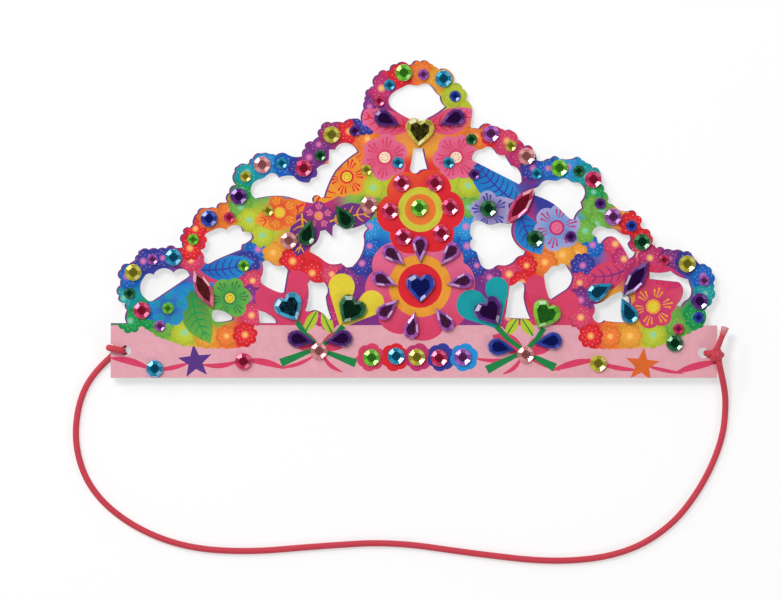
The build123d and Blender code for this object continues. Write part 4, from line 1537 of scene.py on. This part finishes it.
def cord_finish(looks):
    """Braided elastic: matt thread with painted shade darkening the gaps between its strands."""
    finish = Finish("braided_elastic")
    place = finish.node("ShaderNodeUVMap", {"uv_map": "braid"})
    along = finish.node("ShaderNodeSeparateXYZ", None, {0: place}, "X")
    around = Shade(finish, along.socket.node.outputs["Y"])
    turns = 2 * math.pi * strands
    one = finish.node("ShaderNodeMath", {"operation": "COSINE"}, {0: (around + along) * turns})
    two = finish.node("ShaderNodeMath", {"operation": "COSINE"}, {0: (around - along) * turns})
    strand = finish.node("ShaderNodeMath", {"operation": "MAXIMUM"}, {0: one, 1: two})
    fibres = finish.node("ShaderNodeTexNoise", None, {
        "Vector": finish.node("ShaderNodeTexCoord", None, None, "Object"),
        "Scale": 3000.0, "Detail": 2.0,
    })
    frayed = finish.node("ShaderNodeAttribute", {"attribute_name": "frayed"}, None, "Fac")
    pale = with_alpha([0.45 * part + 0.55 for part in looks.cord_colour])
    colour = finish.mix(frayed, with_alpha(looks.cord_colour), pale)
    # Painted shade: the strand pattern darkens the gaps between the strands; the fibre noise is the
    # thread's own random tone
    shade = strand * 0.26 + (fibres - 0.5) * 0.3 + 0.82
    bump = finish.node("ShaderNodeBump", None, {
        "Height": strand * 0.6 + fibres * 0.4, "Strength": 0.5, "Distance": 0.0002,
    })
    surface = finish.node("ShaderNodeBsdfPrincipled", None, {
        "Base Color": finish.tinted(colour, shade),
        "Roughness": 0.55,
        "Specular IOR Level": 0.4,
        "Sheen Weight": 0.15,
        "Sheen Roughness": 0.4,
        "Normal": bump,
    })
    return finish.done(surface)


def right_knot_route():
    """The standing end, two turns about the loop and the cut tail."""
    middle = Vector((139.1, -63.2, 9.35))
    route = [(141.0, -68.4, 8.5), (140.6, -66.6, 9.4)]
    turns = 2
    steps = 8
    turn_radius = 1.75
    for k in range(turns * steps + 1):
        t = math.radians(-70 + 360 * k / steps)
        x = middle.x + 1.6 - 3.0 * k / (turns * steps)
        y = middle.y + turn_radius * math.cos(t)
        route.append((x, y, middle.z + turn_radius * math.sin(t)))
    route += [(139.4, -61.0, 10.4), (141.0, -57.4, 9.6), (142.9, -52.6, 8.9), (143.6, -50.4, 8.6)]
    return route


def make_cord(looks):
    """The free stretch of cord and the two ties that hold it to the card."""
    finish = cord_finish(looks)
    step = 0.3 * mm
    every = 8
    path = evenly(centreline(cord_route), step)
    cord = braided("elastic_cord_braid", path, looks, finish)
    tied = {}
    for name, route, swell in (
        ("left_loop", left_loop_route, 0.0), ("left_knot", left_knot_route, 0.0),
        ("right_loop", right_loop_route, 0.0), ("right_knot", right_knot_route(), 0.36),
    ):
        tied[name] = braided(name, evenly(centreline(route), step), looks, finish, swell)
    left = joined("left_tie_braid", [tied["left_loop"], tied["left_knot"]])
    right = joined("right_tie_braid", [tied["right_loop"], tied["right_knot"]])
    for piece, node in ((cord, "elastic_cord"), (left, "cord_left_tie"), (right, "cord_right_tie")):
        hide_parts(node)
        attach(piece, "root")
    length = sum((b - a).length for a, b in zip(path, path[1:]))
    [tuple(p) for p in path[::every]] + [tuple(path[-1])]
    return cord


def joined(name, parts):
    """Several pieces as one."""
    bpy.ops.object.select_all(action="DESELECT")
    for part in parts:
        part.select_set(True)
    bpy.context.view_layer.objects.active = parts[0]
    bpy.ops.object.join()
    parts[0].name = name
    parts[0].data.name = name
    return parts[0]


# The stage
white = (1.0, 1.0, 1.0, 1.0)


def floor_finish(looks):
    """A pale floor that shows a little lighter to the camera, with the crown's shadow on it."""
    finish = Finish("floor")
    surface = finish.node("ShaderNodeBsdfPrincipled", None, {
        "Base Color": with_alpha(looks.floor_colour),
        "Roughness": 0.9,
        "Specular IOR Level": 0.0,
    })
    glow = finish.node("ShaderNodeEmission", None, {"Color": white, "Strength": 1.0})
    seen = finish.node("ShaderNodeLightPath", None, None, "Is Camera Ray")
    rays = seen.socket.node
    glossy = Shade(finish, rays.outputs["Is Glossy Ray"])
    through = Shade(finish, rays.outputs["Is Transmission Ray"])
    share = finish.node("ShaderNodeMath", {"operation": "MINIMUM"}, {0: seen + glossy + through, 1: 1.0})
    return finish.done(finish.node("ShaderNodeMixShader", None, {0: share * 0.5, 1: surface, 2: glow}))


def studio_dome():
    """Soft light from all round, with the studio's dim ceiling straight overhead."""
    finish = Finish("studio", "ShaderNodeOutputWorld")
    way = finish.node("ShaderNodeTexCoord", None, None, "Generated")
    rise = finish.node("ShaderNodeSeparateXYZ", None, {0: way}, "Z")
    share = finish.node("ShaderNodeMapRange", {"clamp": True},
                        {"Value": rise, "From Min": 0.9, "From Max": 0.965})
    dome = finish.node("ShaderNodeBackground", None, {"Color": white, "Strength": 0.5})
    ceiling = finish.node("ShaderNodeBackground", None, {"Color": white, "Strength": 0.08})
    return finish.done(finish.node("ShaderNodeMixShader", None, {0: share, 1: dome, 2: ceiling}))


def make_stage(looks):
    """The floor, the lamps, the world and the camera over the middle of the picture."""
    half = 1.6
    floor = mesh_piece("floor", [(-half, -half, 0), (half, -half, 0), (half, half, 0), (-half, half, 0)],
                       [[0, 1, 2, 3]], [floor_finish(looks)])
    bpy.context.scene.world = studio_dome()
    aim = Vector((-0.01, -0.03, 0.0))
    for name, place, size, energy in (
        ("key", (-0.77, 0.92, 2.08), 0.9, 30.6),
        ("glint_left", (-1.23, 1.11, 1.12), 0.4, 5.6),
        ("glint_right", (1.23, -1.11, 1.12), 0.36, 4.5),
    ):
        lamp = bpy.data.lights.new(name, "AREA")
        lamp.shape = "DISK"
        lamp.size = size
        lamp.energy = energy
        holder = bpy.data.objects.new(name, lamp)
        holder.location = place
        holder.rotation_euler = (aim - Vector(place)).to_track_quat("-Z", "Y").to_euler()
        bpy.context.scene.collection.objects.link(holder)
    distance = 3.0
    face_height = 0.004
    picture_width = 0.3613
    picture_middle = (-0.0106, -0.0376)
    sensor_width = 36.0
    camera = bpy.data.cameras.new("camera")
    camera.sensor_width = sensor_width
    camera.lens = sensor_width * distance / picture_width
    camera.clip_end = 20.0
    holder = bpy.data.objects.new("camera", camera)
    holder.location = (*picture_middle, distance + face_height)
    bpy.context.scene.collection.objects.link(holder)
    bpy.context.scene.camera = holder
    bpy.context.scene.view_settings.view_transform = "Standard"


class CROWN_OT_stage(bpy.types.Operator):
    """Makes the floor, the lamps and the camera"""

    bl_idname = "crown.stage"
    bl_label = "Set the stage"

    def execute(self, context):
        make_stage(context.scene.crown_looks)
        return {"FINISHED"}


class CROWN_OT_cord(bpy.types.Operator):
    """Makes the braided cord and its ties"""

    bl_idname = "crown.cord"
    bl_label = "Braid the cord"

    def execute(self, context):
        make_cord(context.scene.crown_looks)
        return {"FINISHED"}


class CROWN_OT_card(bpy.types.Operator):
    """Makes the printed card"""

    bl_idname = "crown.card"
    bl_label = "Print the card"

    def execute(self, context):
        make_card(context.scene.crown_looks)
        return {"FINISHED"}


class CROWN_OT_stones(bpy.types.Operator):
    """Makes the faceted stones"""

    bl_idname = "crown.stones"
    bl_label = "Set the stones"

    def execute(self, context):
        make_stones(context.scene.crown_looks)
        return {"FINISHED"}


class CROWN_PT_looks(bpy.types.Panel):
    """The crown's looks"""

    bl_label = "Crown"
    bl_idname = "CROWN_PT_looks"
    bl_space_type = "VIEW_3D"
    bl_region_type = "UI"
    bl_category = "Crown"

    def draw(self, context):
        looks = context.scene.crown_looks
        for name in (
            "cord_thickness", "braid_pitch", "braid_relief", "cord_colour", "rosette_step",
            "print_shift", "stone_gloss", "stone_wobble", "floor_colour",
        ):
            self.layout.prop(looks, name)
        for name in ("crown.stage", "crown.cord", "crown.card", "crown.stones"):
            self.layout.operator(name)


classes = (
    CrownLooks, CROWN_OT_stage, CROWN_OT_cord, CROWN_OT_card, CROWN_OT_stones, CROWN_PT_looks,
)


def register():
    """Adds the crown's properties, operators and panel to Blender."""
    for piece in classes:
        bpy.utils.register_class(piece)
    bpy.types.Scene.crown_looks = bpy.props.PointerProperty(type=CrownLooks)


def unregister():
    """Takes them away again."""
    del bpy.types.Scene.crown_looks
    for piece in reversed(classes):
        bpy.utils.unregister_class(piece)


def main():
    """Builds the scene by its operators."""
    register()
    bpy.ops.crown.stage()
    bpy.ops.crown.cord()
    bpy.ops.crown.card()
    bpy.ops.crown.stones()


if __name__ == "__main__":
    main()
